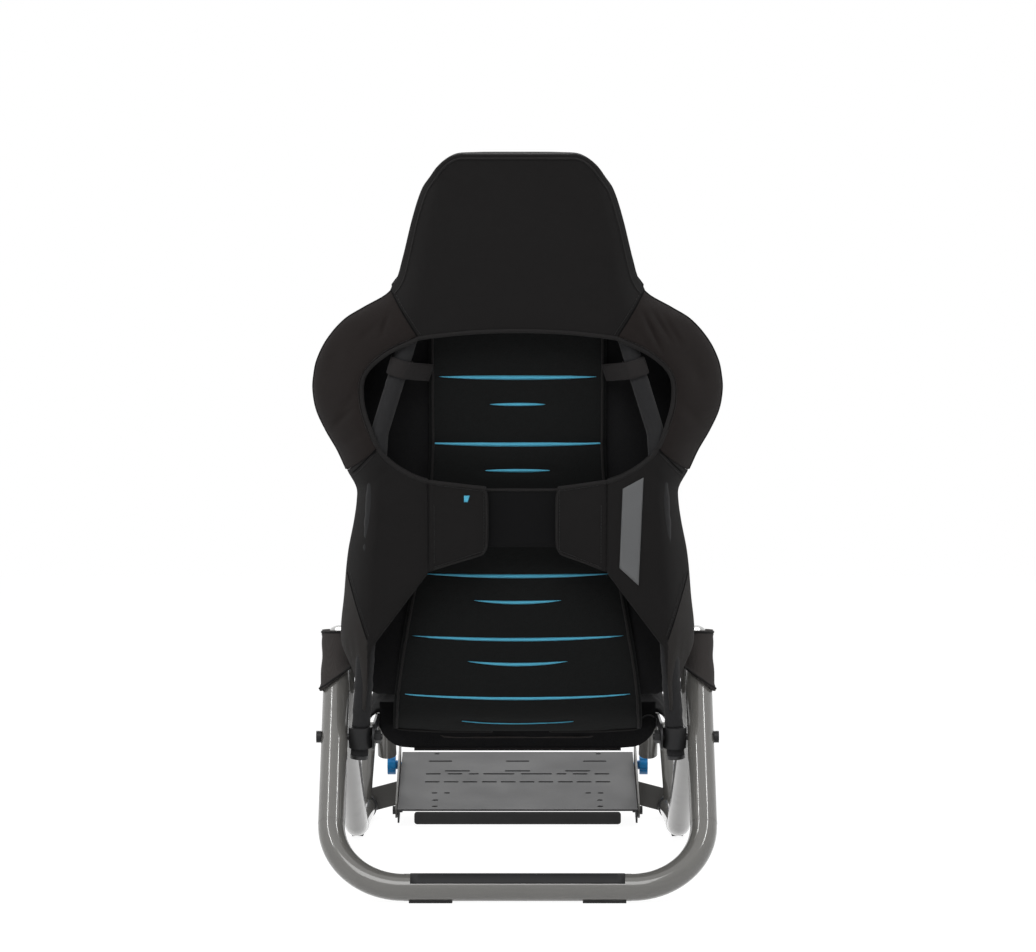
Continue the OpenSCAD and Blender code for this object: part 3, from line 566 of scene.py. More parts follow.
def tube_mesh(name, lines, radius, finish, sides=8, flat=1.0, closed=False):
    """Cords along lines of world points; `flat` below 1 squashes them on to their surface."""
    points, faces = [], []
    for line, normals in lines:
        n = len(line)
        faces += ring_faces(n, sides, len(points), closed)
        for k, p in enumerate(line):
            back = (k - 1) % n if closed else max(k - 1, 0)
            ahead = (k + 1) % n if closed else min(k + 1, n - 1)
            run = (line[ahead] - line[back]).normalized()
            up = (normals[k] - run * normals[k].dot(run)).normalized()
            side = run.cross(up)
            for j in range(sides):
                a = 2 * math.pi * j / sides
                points.append(p + (side * math.cos(a) + up * math.sin(a) * flat) * radius * MM)
    made = make_object(name, points, faces, finish, WORLD)
    tidy_normals(made)
    return made


def stitch_mesh(name, lines, length=3.2, radius=0.42):
    """Rows of single stitches along laid lines, with one stitch for every second point."""
    stitches = []
    for line, normals in lines:
        for k in range(0, len(line) - 1, 2):
            run = (line[k + 1] - line[k]).normalized() * length / 2 * MM
            middle, up = (line[k] + line[k + 1]) / 2, normals[k]
            top = middle + up * radius * MM
            stitches.append(([middle - run, top - run * 0.6, top + run * 0.6, middle + run], [up] * 4))
    return tube_mesh(name, stitches, radius, black_thread, sides=5)


def ride_all(body, *objects):
    for o in objects:
        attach(o, body)


SIDES = ((1, "left"), (-1, "right"))          # +x is the driver's left
print("tools for seams: lay, tube_mesh, stitch_mesh")

# %% [markdown]
# ## Filling a cushion
# Stuffed cloth is best made the way it really happens: the cloth is simulated under air pressure. The pad
# is remeshed into even small faces, inflated for twenty frames, and no point may move further than a cap,
# so the cushion stays in the space it has. Frame times are fixed, so the result is the same on every run.
# Only the seat and the bolsters are soft enough for this. The covers are quilted flat, and their formulas
# alone shape them.

# %% Inflate a pad
def apply_modifiers(made):
    """Make what the modifiers show the object's own mesh, and keep its finishes."""
    graph = bpy.context.evaluated_depsgraph_get()
    mesh = bpy.data.meshes.new_from_object(made.evaluated_get(graph), depsgraph=graph)
    finishes = list(made.data.materials)
    made.modifiers.clear()
    made.data = mesh
    if not len(mesh.materials):
        for finish in finishes:
            mesh.materials.append(finish)


VOXEL = 7.0           # size of the even faces, mm
PRESSURE = 4.0
STIFFNESS = 12.0
FRAMES = 20
CAP = 3.0             # how far any point may move, mm


def inflate(made):
    remesh = made.modifiers.new("even faces", "REMESH")
    remesh.mode, remesh.voxel_size, remesh.use_smooth_shade = "VOXEL", VOXEL * MM, True
    apply_modifiers(made)
    rest = np.array([v.co for v in made.data.vertices])
    cloth_of = made.modifiers.new("stuffing", "CLOTH")
    s = cloth_of.settings
    s.use_pressure, s.uniform_pressure_force = True, PRESSURE
    s.quality, s.mass, s.tension_stiffness, s.compression_stiffness = 5, 0.3, STIFFNESS, STIFFNESS
    s.bending_stiffness, s.effector_weights.gravity = 0.6, 0
    scene = bpy.context.scene
    for k in range(1, FRAMES + 1):
        scene.frame_set(k)
    graph = bpy.context.evaluated_depsgraph_get()
    moved = np.array([v.co for v in made.evaluated_get(graph).data.vertices])
    made.modifiers.clear()
    scene.frame_set(1)
    step = moved - rest
    far = np.linalg.norm(step, axis=1, keepdims=True)
    kept = rest + step * np.minimum(1, CAP * MM / np.maximum(far, 1e-9))
    made.data.vertices.foreach_set("co", kept.ravel())
    made.data.update()
    made.modifiers.new("finer", "SUBSURF").levels = 1
    apply_modifiers(made)
    made.data.polygons.foreach_set("use_smooth", [True] * len(made.data.polygons))
    print(made.name, "swelled by", round(float(np.minimum(far, CAP * MM).mean()) * 1000, 1), "mm on average")


print("simulation", "on")

# %% [markdown]
# ## The opening and its edges
# The rear cover leaves a large oval open. Its edge is one smooth curve shared by the headrest, both wings
# and both side covers, so it is drawn once and each panel takes its stretch of it. Panels on the right
# mirror the left.

# %% The oval's edge
OVAL_X = [(0, 107), (1, 150), (2, 186), (3, 208), (4, 220), (5, 215.5), (6, 184), (7, 139)]
OVAL_Z = [(0, 368), (1, 383), (2, 409), (3, 443), (4, 484), (5, 520), (6, 553), (7, 576)]
WING_FOOT_K, FLAP_K = 2.3, 0.45      # where the wing's lower seam and the lumbar flap meet the oval
SEAM_FOOT, SEAM_TOP, TOP = (139, 576), (176, 636), 830
WING_LOW = (232, 376)


def oval(k):
    return curve(OVAL_X, k), curve(OVAL_Z, k)


def between(a, b, t):
    return a + (b - a) * t


def side_line(t):
    """Inner edge of the side cover, from its tip up to the wing's seam."""
    flap_x, flap_z = oval(FLAP_K)
    k = between(FLAP_K, WING_FOOT_K, np.clip((t - 0.78) / 0.22, 0, 1))
    ox, oz = oval(k)
    x = np.interp(t, [0, 0.26, 0.54, 0.78], [216, 207, 126, flap_x])
    z = np.interp(t, [0, 0.26, 0.54, 0.78], [42, 132, 241, flap_z])
    return np.where(t < 0.78, x, ox), np.where(t < 0.78, z, oz)


print("oval", 2 * max(x for _, x in OVAL_X), "mm across inside its widest rows")

# %% [markdown]
# ## Headrest
# The headrest is a thick padded block: a flat quilted rear face, a gusset round it and a crowned face for
# the head. Its lower edge is the top of the oval. Piping runs just inside the rear face's rim, and again
# on the front rim.

# %% Headrest
HEAD_FOLDS = [(-120, 600, -95, 640, 9, 1.6), (118, 596, 100, 632, 8, 1.4), (-60, 590, 50, 588, 12, 0.8)]


def head_rise(q):
    """How far the lower edge rises at q, which runs from -1 to 1 across the headrest."""
    return 11 * (1 - np.abs(q) ** 2.2)


def head_edge(t):
    """Left edge of the headrest from its foot, t = 0, to its top, t = 1."""
    low = t < 0.25
    z = np.where(low, between(SEAM_FOOT[1], SEAM_TOP[1], t / 0.25),
                 between(SEAM_TOP[1], TOP, 1 - (1 - np.clip((t - 0.25) / 0.75, 0, 1)) ** 1.6))
    x = np.where(low, between(SEAM_FOOT[0], SEAM_TOP[0] - 0.8, t / 0.25), half_w(z) - 0.2)
    return x, z


def headrest_faces(rows=64, cols=48, gusset=20):
    t, w = grid(rows, cols)
    q = 2 * w - 1
    edge_x, edge_z = head_edge(t)
    x, z = edge_x * q, edge_z + head_rise(q) * np.maximum(0, 1 - 4 * t)
    puff = bulge(w, 6) * bulge(0.1 + 0.9 * t, 6)
    rear = wrap_y(x, z) + 4 * puff + 0.7 * ripple(x, z, 130) * puff
    rear -= folds(x, z, HEAD_FOLDS)
    deep = between(26, 40, smooth((z - 636) / 110))
    front = wrap_y(edge_x * np.sign(q), edge_z) * 0.5 + wrap_y(x, z) * 0.5 - gusset - deep * puff
    front += 3 * np.exp(-((z - 668) / 7) ** 2) * puff
    return np.stack([x, rear, z], -1), np.stack([x, front, z], -1)


rear, front = headrest_faces()
headrest = sew_pad("headrest", rear, front, cover_cloth, strips=6, out=4)
ride_all("backrest", headrest)
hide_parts("headrest_pad")
print("headrest is", round(headrest.dimensions.y * 1000), "mm deep")

# %% [markdown]
# ## Panels of the rear cover
# Wings and side covers are quilted panels between an inner and an outer edge. Across a panel the points
# run from one edge to the other; the wrap table curls them forward. Each wing has the folds that its pull
# on the tube gives it.

# %% Wings
def cover_panel(name, side, inner, outer, crown, thick, finish, rim=8.0, rows=112, cols=44, lines=()):
    """A quilted panel. `inner` and `outer` give its edges, and `lines` its folds."""
    t, w = grid(rows, cols)
    (ax, az), (bx, bz) = inner(t), outer(t)
    x, z = between(ax, bx, w), between(az, bz, w)
    puff = bulge(t, 5) * bulge(w, 5)
    uneven = (0.8 * ripple(x * side, z, 90, side) - folds(x, z, lines)) * bulge(w, 8)
    rear = wrap_y(x, z) + crown * puff + uneven
    front = wrap_y(x, z) - rim - (thick - rim) * puff
    faces = [np.stack([side * x, y, z], -1) for y in (rear, front)]
    return sew_pad(name, *faces, finish, out=1.5)


def wing_inner(t):
    return oval(between(WING_FOOT_K, 7, t))


def wing_outer(t):
    z = between(WING_LOW[1] + 1.5, SEAM_TOP[1] - 1.5, t)
    return half_w(z) - 0.5, z


LEFT_FOLDS = [(180, 606, 190, 576, 3.4, 4.2), (230, 472, 262, 440, 4.5, 4.0), (222, 500, 250, 462, 5, 2.4),
              (214, 440, 246, 418, 6, 1.6), (250, 560, 262, 520, 10, 1.6), (196, 590, 222, 566, 5, 2.4)]
RIGHT_FOLDS = [(174, 608, 202, 552, 3.4, 5.0), (188, 608, 216, 564, 3.4, 4.4), (204, 600, 228, 560, 4, 3.4),
               (228, 480, 256, 448, 7, 2.0), (240, 540, 262, 500, 9, 1.8), (160, 590, 190, 552, 5, 1.6)]
wings = {}
for side, word, lines in ((1, "left", LEFT_FOLDS), (-1, "right", RIGHT_FOLDS)):
    wing = cover_panel(f"{word}_wing", side, wing_inner, wing_outer, 9, 24, wing_cloth, lines=lines)
    ride_all("backrest", wing)
    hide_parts(f"wing_{word}")
    wings[side] = wing
print("wing folds:", len(LEFT_FOLDS) + len(RIGHT_FOLDS))

# %% [markdown]
# ## Side covers
# Below the wings the cover narrows to a tip that is folded round the foot of the tube. A slanted seam
# divides it: the rear part is the same black cloth as the headrest, and the gusset outside the seam is a
# second cloth that turns forward. It is painted paler to stand in for the sheen that light gives it there.
# One mesh holds both, and its faces outside the seam take the second finish.

# %% Side covers
def side_outer(t):
    z = between(44, WING_LOW[1] - 1, t)
    return half_w(z) - 0.5, z


SIDE_SEAM = [(146, 212), (232, 242)]     # the slanted seam, as (height, half width)
TIP_FOLDS = [(232, 150, 226, 84, 5, 2.4), (240, 140, 233, 90, 4, 2.0), (222, 160, 214, 120, 5, 1.4),
             (150, 300, 205, 330, 14, 1.0), (140, 262, 200, 240, 16, 1.0), (170, 400, 222, 352, 8, 1.4)]
covers = {}
for side, word in SIDES:
    cover = cover_panel(f"{word}_side_cover", side, side_line, side_outer, 5, 14, cover_cloth,
                        rim=6, rows=120, lines=TIP_FOLDS)
    # Faces outside the seam take the gusset cloth, whose paler colour is painted sheen.
    cover.data.materials.append(sheen_painted_side_cloth)
    to_back = BACK.inverted()
    for face in cover.data.polygons:
        p = to_back @ face.center
        seam = np.interp(p.z, [46, 146, 232, 260], [212, 212, 242, 262])
        face.material_index = int(abs(p.x) > seam)
    ride_all("backrest", cover)
    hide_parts(f"side_cover_{word}")
    covers[side] = cover
print("side covers:", len(covers))

# %% [markdown]
# ## Lumbar strap
# Two flaps come in from the side covers and close over an elastic band. Each is a thin quilted tongue
# with rounded corners and a stitched border. The band is a flat sheet with a bound upper edge.

# %% Lumbar flaps and band
TIP_AT = {1: 42, -1: 54}              # from the middle to each flap's tip, mm
FLAP_FOLDS = [(70, 300, 118, 330, 10, 0.8), (60, 280, 110, 262, 9, 0.7)]
flaps = {}
for side, word in SIDES:
    def flap_tip(t, side=side):
        return TIP_AT[side] + 6 * np.abs(2 * t - 1) ** 7, between(268, 363, t)

    def flap_root(t):
        return np.full_like(t, 124.0), between(243, 372, t)

    flap = cover_panel(f"{word}_lumbar_flap", side, flap_tip, flap_root, 3, 6, cover_cloth,
                       rim=5, rows=20, cols=16, lines=FLAP_FOLDS)
    ride_all("backrest", flap)
    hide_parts(f"lumbar_flap_{word}")
    flaps[side] = flap

t, w = grid(10, 24)
x, z = between(-118, 118, w), between(276, 357, t)
band_y = 6.0 - 1.5 * np.sin(math.pi * w)
band = sew_pad("lumbar_band_cloth", np.stack([x, band_y, z], -1), np.stack([x, band_y - 2, z], -1), webbing,
               strips=2, out=0.5)
band.data.materials[0] = elastic
ride_all("backrest", band)
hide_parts("lumbar_band")
print("gap between the flaps:", TIP_AT[1] + TIP_AT[-1], "mm")

# %% [markdown]
# ## Sling of the back
# The centre panel hangs in the tube like a hammock. It widens towards the seat, sinks a little forward at
# the middle, and is quilted across. Coloured channels, long and short by turns, taper to a point at both
# ends.

# %% Back sling
# each coloured channel as (height, half length, half width)
STRIPES = [(511, 111, 3.0), (472, 39, 2.2), (414, 121, 2.8), (376, 46, 2.2), (226, 132, 2.6), (189, 62, 2.2),
           (137, 151, 2.2), (102, 71, 2.2), (53, 161, 2.2), (8, 80, 2.4)]
SLING_TOP = 590


def sling_half(z):
    return between(178, 124, smooth((z + 14) / 430))


def sling_y(z):
    return (-34 - 18 * np.sin(np.radians(np.clip((z - 60) * 0.36, 0, 180)))
            - 60 * np.maximum(0, (60 - z) / 74) ** 2)


def sling_sag(z):
    """How far a stripe at height z dips in its middle."""
    return between(4.5, 0, smooth((z - 60) / 320))


def sling_faces(rows=110, cols=36):
    t, w = np.meshgrid(np.linspace(0, 1, rows + 1), grid(1, cols)[1][0], indexing="ij")
    q, z = 2 * w - 1, between(-13, SLING_TOP, t)
    x, middle = sling_half(z) * q, sling_y(z) - 8 * q * q
    quilt = np.zeros_like(x)
    for height, half, _ in STRIPES:
        dip = height - sling_sag(height) * (1 - (x / half) ** 2)
        quilt += np.exp(-(((z - dip) / 5.5) ** 2)) * (np.abs(x) < half + 12)
    body = 3 + 5 * bulge(w, 8) - 2.2 * quilt + 0.5 * ripple(x, z, 110)
    return np.stack([x, middle + body, z], -1), np.stack([x, middle - body, z], -1)


rear, front = sling_faces()
sling = sew_pad("back_sling_panel", rear, front, spacer_mesh, strips=3, out=1.5)
ride_all("backrest", sling)
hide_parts("back_sling")
print("sling is", round(float(2 * sling_half(0.0))), "mm wide at its foot")

# %% Coloured channels
def lens_strip(points, made):
    """Closed thin strip from a list of (low, high) world points with their normals."""
    verts, faces = [], []
    for low, high, normal in points:
        verts += [low, (low + high) / 2 + normal * 0.9 * MM, high, (low + high) / 2 - normal * 0.8 * MM]
    for k in range(len(points) - 1):
        for j in range(4):
            a, b = 4 * k + j, 4 * k + (j + 1) % 4
            faces.append([a, b, b + 4, a + 4])
    faces += [[0, 1, 2, 3], [4 * len(points) - 4 + j for j in (3, 2, 1, 0)]]
    base = len(made[0])
    made[0].extend(verts)
    made[1].extend([base + i for i in f] for f in faces)


def stripes_on(name, tree, stripes, place, body):
    """Tapering strips on a surface. `place` gives the middle of a stripe at s, from -1 to 1."""
    made = ([], [])
    for stripe in stripes:
        pieces = []
        for s in np.linspace(-1, 1, 49):
            centre, up = place(stripe, s)
            wide = stripe[2] * (max(0.0, 1 - abs(s) ** 2.2) ** 0.8 + 0.06)
            ends = [tree.find_nearest(Vector(centre) + Vector(up) * k * wide * MM) for k in (-1, 1)]
            normal = (ends[0][1] + ends[1][1]).normalized()
            low, high = (e[0] + normal * 0.5 * MM for e in ends)
            pieces.append((low, high, normal))
        lens_strip(pieces, made)
    strips = make_object(name, made[0], made[1], blue_thread, WORLD)
    tidy_normals(strips)
    ride_all(body, strips)


def on_sling(face):
    def place(stripe, s):
        z, half, _ = stripe
        x = half * s
        dip = z - sling_sag(z) * (1 - s * s)
        y = float(sling_y(dip)) - 8 * (x / float(sling_half(dip))) ** 2 + face * 7
        return BACK @ Vector((x, y, dip)), turned(0, 0, 1).normalized()
    return place


sling_tree = surface_of(sling)
for face, word in ((1, "rear"), (-1, "front")):
    stripes_on(f"{word}_back_stripes", sling_tree, STRIPES, on_sling(face), "backrest")
print("stripes on each face:", len(STRIPES))

# %% [markdown]
# ## Bolsters and shoulder pad
# At each side of the sling a bolster rises forward and meets the outer rim of the cover, so that the back
# becomes a bucket. They are stuffed, so they are simulated. Their outer edge stays inside the legs,
# because the backrest leans between them. A small pad over the sling's top edge carries the shoulders to
# the headrest.

# %% Bolsters
LEG_CLEAR = 226.0                             # widest the bolster may be where it passes the legs


def bolster_edges(z):
    inner = np.where(z < 585, sling_half(z) - 8, 116 + 40 * smooth((z - 585) / 30))
    reach = half_w(z) - 5
    outer = np.where(z < 300, np.minimum(reach, between(LEG_CLEAR, reach, smooth((z - 230) / 70))), reach)
    inner_y = sling_y(np.minimum(z, SLING_TOP)) - 13.5
    outer_y = COVER_Y - curve(WRAP, z) - 12 - 30 * smooth((300 - z) / 200)
    return inner, outer, inner_y, outer_y


def bolster_faces(side, rows=40, cols=22):
    t, w = grid(rows, cols)
    z = between(44, 634, t)
    inner, outer, inner_y, outer_y = bolster_edges(z)
    x, y = between(inner, outer, w), between(inner_y, outer_y, w)
    swell = bulge(w, 3) * bulge(t, 5)
    crest = np.exp(-(((w - 0.62) / 0.36) ** 2))
    full = between(18, 46, smooth((600 - z) / 120)) * between(0.7, 1, smooth((z - 44) / 150))
    rear = y + 4 * swell * np.clip((w - 0.08) / 0.1, 0, 1)
    front = y - 10 - full * swell * (0.35 + 0.65 * crest)
    front += 2.5 * np.exp(-((z - 300) / 6) ** 2) * swell + 2.5 * np.exp(-((z - 470) / 6) ** 2) * swell
    return np.stack([side * x, rear, z], -1), np.stack([side * x, front, z], -1)


bolsters = {}
for side, word in SIDES:
    bolster = sew_pad(f"{word}_back_bolster", *bolster_faces(side), pad_cloth, strips=3, out=1)
    inflate(bolster)
    ride_all("backrest", bolster)
    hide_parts(f"back_bolster_{word}")
    bolsters[side] = bolster
print("bolsters:", len(bolsters))

# %% Shoulder pad
t, w = grid(16, 40)
q, z = 2 * w - 1, between(593, 646, t)
x = (124 + 27 * smooth((z - 592) / 26)) * q
y = -43 - 20 * (x / 150) ** 2 - 4 * t
swell = bulge(w, 5) * bulge(t, 3)
rear = np.stack([x, y + 3 + 5 * swell, z], -1)
front = np.stack([x, y - 3 - 8 * swell, z], -1)
shoulder = sew_pad("shoulder_roll", rear, front, pad_cloth, strips=2, out=1)
ride_all("backrest", shoulder)
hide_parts("shoulder_pad")
print("shoulder roll", round(shoulder.dimensions.x * 1000), "mm wide")

# %% [markdown]
# ## Knit sleeves and webbing tabs
# The backrest tube wears a knit sleeve, which crinkles where the tube bends. High up, a webbing tab is
# looped round the tube at each side and its tongue is sewn to the sling's edge.

# %% Sleeves on the backrest tube
def sleeve(name, side, low, high, radius):
    z = np.arange(low, high, 3.0)
    points, sides = [], 20
    for h in z:
        slack = 0.35 * math.sin(h / 5.3) + 0.3 * math.sin(h / 2.9 + 1)
        for j in range(sides):
            a = 2 * math.pi * j / sides
            r = radius + slack * (0.5 + 0.5 * math.sin(a * 2 + h / 40))
            points.append((side * float(hoop_x(h)) + r * math.cos(a), r * math.sin(a), h))
    made = make_object(name, points, ring_faces(len(z), sides), sleeve_knit)
    tidy_normals(made)
    ride_all("backrest", made)


for side, word in SIDES:
    sleeve(f"{word}_tube_sleeve", side, 16, 770, HOOP / 2 + 0.5)
print("sleeves run from the collars into the headrest")

# %% Webbing tabs
TAB_LOW, TAB_HIGH = 518.0, 543.0


def ribbon(name, path, spread, thick, finish, wave):
    """A flat band of webbing along `path`, whose width lies along the vectors in `spread`."""
    points, faces, across = [], [], 7
    path, spread = np.array(path, float), np.array(spread, float)
    run = np.gradient(path, axis=0)
    normal = np.cross(run, spread)
    normal /= np.linalg.norm(normal, axis=1, keepdims=True)
    for k in range(len(path)):
        for s in (1, -1):
            for j in range(across):
                v = 2 * j / (across - 1) - 1
                rise = s * thick / 2 * (1 - 0.35 * abs(v) ** 6) + wave * math.sin(k * 0.9 + v * 2)
                points.append(path[k] + spread[k] * v / 2 + normal[k] * rise)
    ring = 2 * across
    order = list(range(across)) + list(range(2 * across - 1, across - 1, -1))
    for k in range(len(path) - 1):
        for j in range(ring):
            a, b = order[j], order[(j + 1) % ring]
            faces.append([k * ring + a, k * ring + b, (k + 1) * ring + b, (k + 1) * ring + a])
    faces += [order[::-1], [(len(path) - 1) * ring + a for a in order]]
    made = make_object(name, points, faces, finish)
    tidy_normals(made)
    return made


for side, word in SIDES:
    lean = Vector((float(hoop_x(TAB_HIGH) - hoop_x(TAB_LOW)), 0, TAB_HIGH - TAB_LOW)).normalized()
    centre = Vector((float(hoop_x((TAB_LOW + TAB_HIGH) / 2)), 0, (TAB_LOW + TAB_HIGH) / 2))
    inward = Vector((-lean.z, 0, lean.x))
    rearward = Vector((0, 1, 0))
    loop = [centre + (inward * math.cos(a) + rearward * math.sin(a)) * 15.4
            for a in np.radians(np.linspace(400, 39, 34))]
    tongue_end = centre + inward * 45 - rearward * 38
    tongue_start = loop[-1]
    for s in np.linspace(0.08, 1, 12):
        loop.append(tongue_start.lerp(tongue_end, s) + rearward * (1.5 * math.sin(math.pi * s)))
    path = [(side * p.x, p.y, p.z) for p in loop]
    tall = Vector((side * lean.x, 0, lean.z)) * (TAB_HIGH - TAB_LOW)
    tab = ribbon(f"{word}_webbing_tab", path, [tall] * len(path), 1.8, dark_webbing, wave=0.12)
    ride_all("backrest", tab)
    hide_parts(f"tube_tab_{word}")

# %% [markdown]
# ## Seat
# The seat is a cushion on a sling between two rails. It is lowest in the middle, rises into soft bolsters
# over the rails, and rolls over the front bar like a waterfall. Its height depends on how far a point
# lies outside the seat tube's centre line, so the formula follows the tube's rounded front corners by
# itself.

# %% Shape of the seat
rear_mm = rear_bar / MM
rail_low, rail_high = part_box("seat_hoop")
SEAT_FRONT_U = rear_mm - rail_low.y / MM - HOOP / 2
RAIL_X = rail_high.x / MM - HOOP / 2
RAIL_REAR_U, RAIL_REAR_Z, RAIL_FRONT_Z, HOOP_R, OVER = 264.0, 230.0, 318.0, 85.0, 32.0


def place(x, u, z):
    """A point in millimetres, with u counted forward from the rear bar."""
    return np.stack([x, rear_mm - u, z], -1)


def rail_z(u):
    return RAIL_REAR_Z + (u - RAIL_REAR_U) * (RAIL_FRONT_Z - RAIL_REAR_Z) / (SEAT_FRONT_U - RAIL_REAR_U)


def outside(x, u):
    """How far a point lies outside the seat tube's centre line."""
    across = np.maximum(np.abs(x) - RAIL_X + HOOP_R, 0)
    ahead = np.maximum(u - SEAT_FRONT_U + HOOP_R, 0)
    return np.hypot(across, ahead) - HOOP_R


def seat_half(u, over=OVER):
    return RAIL_X - HOOP_R + np.sqrt(np.maximum(0, (HOOP_R + over) ** 2
                                                - np.maximum(0, u - SEAT_FRONT_U + HOOP_R) ** 2))


def seat_low(x, u):
    d = outside(x, u)
    return (rail_z(u) + HOOP / 2 + 1 - 44 * smooth((-15 - d) / 110) * smooth((SEAT_FRONT_U - 16 - u) / 120)
            - 14 * smooth((d - 14) / 18))


def seat_thick(x, u):
    d = outside(x, u)
    return 22 + (34 * smooth((d + 95) / 70) * smooth((20 - d) / 34) * (1 - 0.55 * smooth((u - 520) / 170))
                 * smooth((u - 250) / 130))


print("seat front is", round(float(SEAT_FRONT_U)), "mm forward of the rear bar")

# %% Seat cushion
SEAT_CHANNELS = [(360, 118), (425, 62), (490, 124), (555, 66), (620, 118)]     # (u, half length)
SEAM_X = 128.0                                # seam of centre panel and bolster


def seat_faces(rows=60, cols=56):
    t, w = np.meshgrid(grid(rows, 1)[0][:, 0], grid(1, cols)[1][0], indexing="ij")
    u = between(270, SEAT_FRONT_U + OVER - 1, 1 - (1 - t) ** 1.5)
    x = seat_half(u) * (2 * w - 1)
    low = seat_low(x, u)
    puff = bulge(w) * bulge(0.03 + 0.97 * t)
    seam = np.exp(-(((np.abs(x) - SEAM_X) / 5) ** 2)) * smooth((SEAT_FRONT_U - u) / 30)
    cut = sum(np.exp(-(((u - c) / 5) ** 2)) * (np.abs(x) < h + 10) for c, h in SEAT_CHANNELS)
    top = low + 4 + (seat_thick(x, u) + 1.2 * ripple(x, u, 150)) * puff - 3.0 * seam * puff - 1.8 * cut * puff
    return place(x, u, top), place(x, u, low)


cushion = sew_pad("seat_cushion_cloth", *seat_faces(), pad_cloth, matrix=FLOOR, strips=3, out=1)
inflate(cushion)
ride_all("frame", cushion)
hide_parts("seat_cushion")

t, w = grid(24, 24)
u = between(266, SEAT_FRONT_U - 20, t)
x = seat_half(u, -16) * (2 * w - 1)
low = seat_low(x, u)
hammock = sew_pad("seat_hammock", place(x, u, low - 3), place(x, u, low - 5.4), webbing,
                  matrix=FLOOR, strips=2, out=0)
ride_all("frame", hammock)
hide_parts("seat_sling")
print("seat is", round(cushion.dimensions.x * 1000), "mm wide")

# %% Skirt of the seat
SKIRT_Z = [190, 193, 196, 204, 214, 225, 236, 252, 262]
SKIRT_HALF = [60, 160, 175, 187, 196, 200, 200, 200, 200]      # half width at each of these heights
SKIRT_LOW = 190.5


def skirt_half(z):
    return np.interp(z, SKIRT_Z, SKIRT_HALF)


t, w = grid(20, 48)
z = between(SKIRT_LOW, 261, t)
x = skirt_half(z) * (2 * w - 1)
u = 261.5 + 10 * smooth((230 - z) / 40) + 1.2 * np.sin(x / 17) * smooth((z - 190) / 30)
skirt = sew_pad("seat_skirt", place(x, u, z), place(x, u + 2.2, z), pad_cloth,
                matrix=FLOOR, strips=1, out=0.2)
ride_all("frame", skirt)
hem_x = np.linspace(-150, 150, 60)
hem_line = place(hem_x, np.full(60, 270.5), np.full(60, 191.5))
hem = tube_mesh("skirt_hem", [([Vector(p) * MM for p in hem_line], [Vector((0, 1, 0))] * 60)], 2.2, tape)
ride_all("frame", hem)
print("skirt hangs to", SKIRT_LOW, "mm above the floor")

# %% Channels of the seat
seat_tree = surface_of(cushion)


def on_seat(stripe, s):
    u, half, _ = stripe
    x = half * s
    top = float(seat_low(x, u) + 4 + seat_thick(x, u))
    return Vector((x * MM, (rear_mm - u) * MM, (top + 4) * MM)), Vector((0, -1, 0))


stripes_on("seat_stripes", seat_tree, [(u, h, 2.4) for u, h in SEAT_CHANNELS], on_seat, "frame")
print("channels on the seat:", len(SEAT_CHANNELS))

# %% [markdown]
# ## Straps round the legs
# Just below the top bend a wide hook-and-loop strap is wound round each leg. Its lower edge is cut on a
# slant, so it hangs lower outside than inside, and both edges are bound.

# %% Leg straps
STRAP_TOP_Z, STRAP_OUT_Z, STRAP_IN_Z = 365.0, 280.0, 314.0
HALF_TRACK, TUBE_HIGH = 260, 21                      # middle of a floor tube, across and above the floor
leg_axis = Vector((0, -315, 404)).normalized()       # from the rear corner to the top bend
leg_foot = Vector((HALF_TRACK, rear_mm, TUBE_HIGH))


def leg_point(z):
    return leg_foot + leg_axis * ((z - leg_foot.z) / leg_axis.z)


def strap_shell(side, rows=26, around=56):
    """Outer and inner wall of a strap: rows run down the leg, columns run round it."""
    up = leg_axis.cross(Vector((1, 0, 0))).normalized()
    walls = []
    for wall in (TUBE / 2 + 3.6, TUBE / 2 + 0.6):
        rows_made = []
        for i in range(rows + 1):
            row = []
            for j in range(around):
                a = 2 * math.pi * j / around
                slant = 0.5 + 0.5 * math.cos(a)
                low = STRAP_IN_Z + (STRAP_OUT_Z - STRAP_IN_Z) * slant
                z = STRAP_TOP_Z + (low - STRAP_TOP_Z) * i / rows
                hem = 1.1 if min(i, rows - i) < 3 else 0.0
                crease = 0.5 * math.sin(a * 3 + z / 9) + 0.4 * math.sin(z / 6 + a)
                r = wall + (hem + crease if wall > TUBE / 2 + 2 else 0)
                # both edges are cut level, not square to the leg
                c = leg_point(z - up.z * math.sin(a) * r)
                p = c + Vector((1, 0, 0)) * math.cos(a) * r + up * math.sin(a) * r
                row.append((side * p.x, p.y, p.z))
            rows_made.append(row)
        walls.append(rows_made)
    return walls


for side, word in SIDES:
    outer, inner = strap_shell(side)
    rows, around = len(outer), len(outer[0])
    points = [p for wall in (outer, inner) for row in wall for p in row]
    faces = []
    for g in (0, rows * around):
        for i in range(rows - 1):
            row, below = g + i * around, g + (i + 1) * around
            for j in range(around):
                q = (j + 1) % around
                faces.append([row + j, below + j, below + q, row + q])
    for i in (0, rows - 1):
        outside_edge, inside_edge = i * around, (rows + i) * around
        for j in range(around):
            q = (j + 1) % around
            faces.append([outside_edge + j, outside_edge + q, inside_edge + q, inside_edge + j])
    strap = make_object(f"{word}_leg_strap", points, faces, webbing, FLOOR)
    tidy_normals(strap)
    ride_all("frame", strap)
    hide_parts(f"seat_strap_{word}")
    hems = []
    for ring in (outer[1], outer[-2]):
        around_leg = [Vector(p) * MM for p in ring]
        middle = sum(around_leg, Vector()) / len(around_leg)
        hems.append((around_leg, [(p - middle).normalized() for p in around_leg]))
    hem = tube_mesh(f"{word}_strap_hems", hems, 1.9, tape, closed=True, flat=0.8)
    ride_all("frame", hem)
print("straps hang from", STRAP_TOP_Z, "to", STRAP_OUT_Z, "mm")

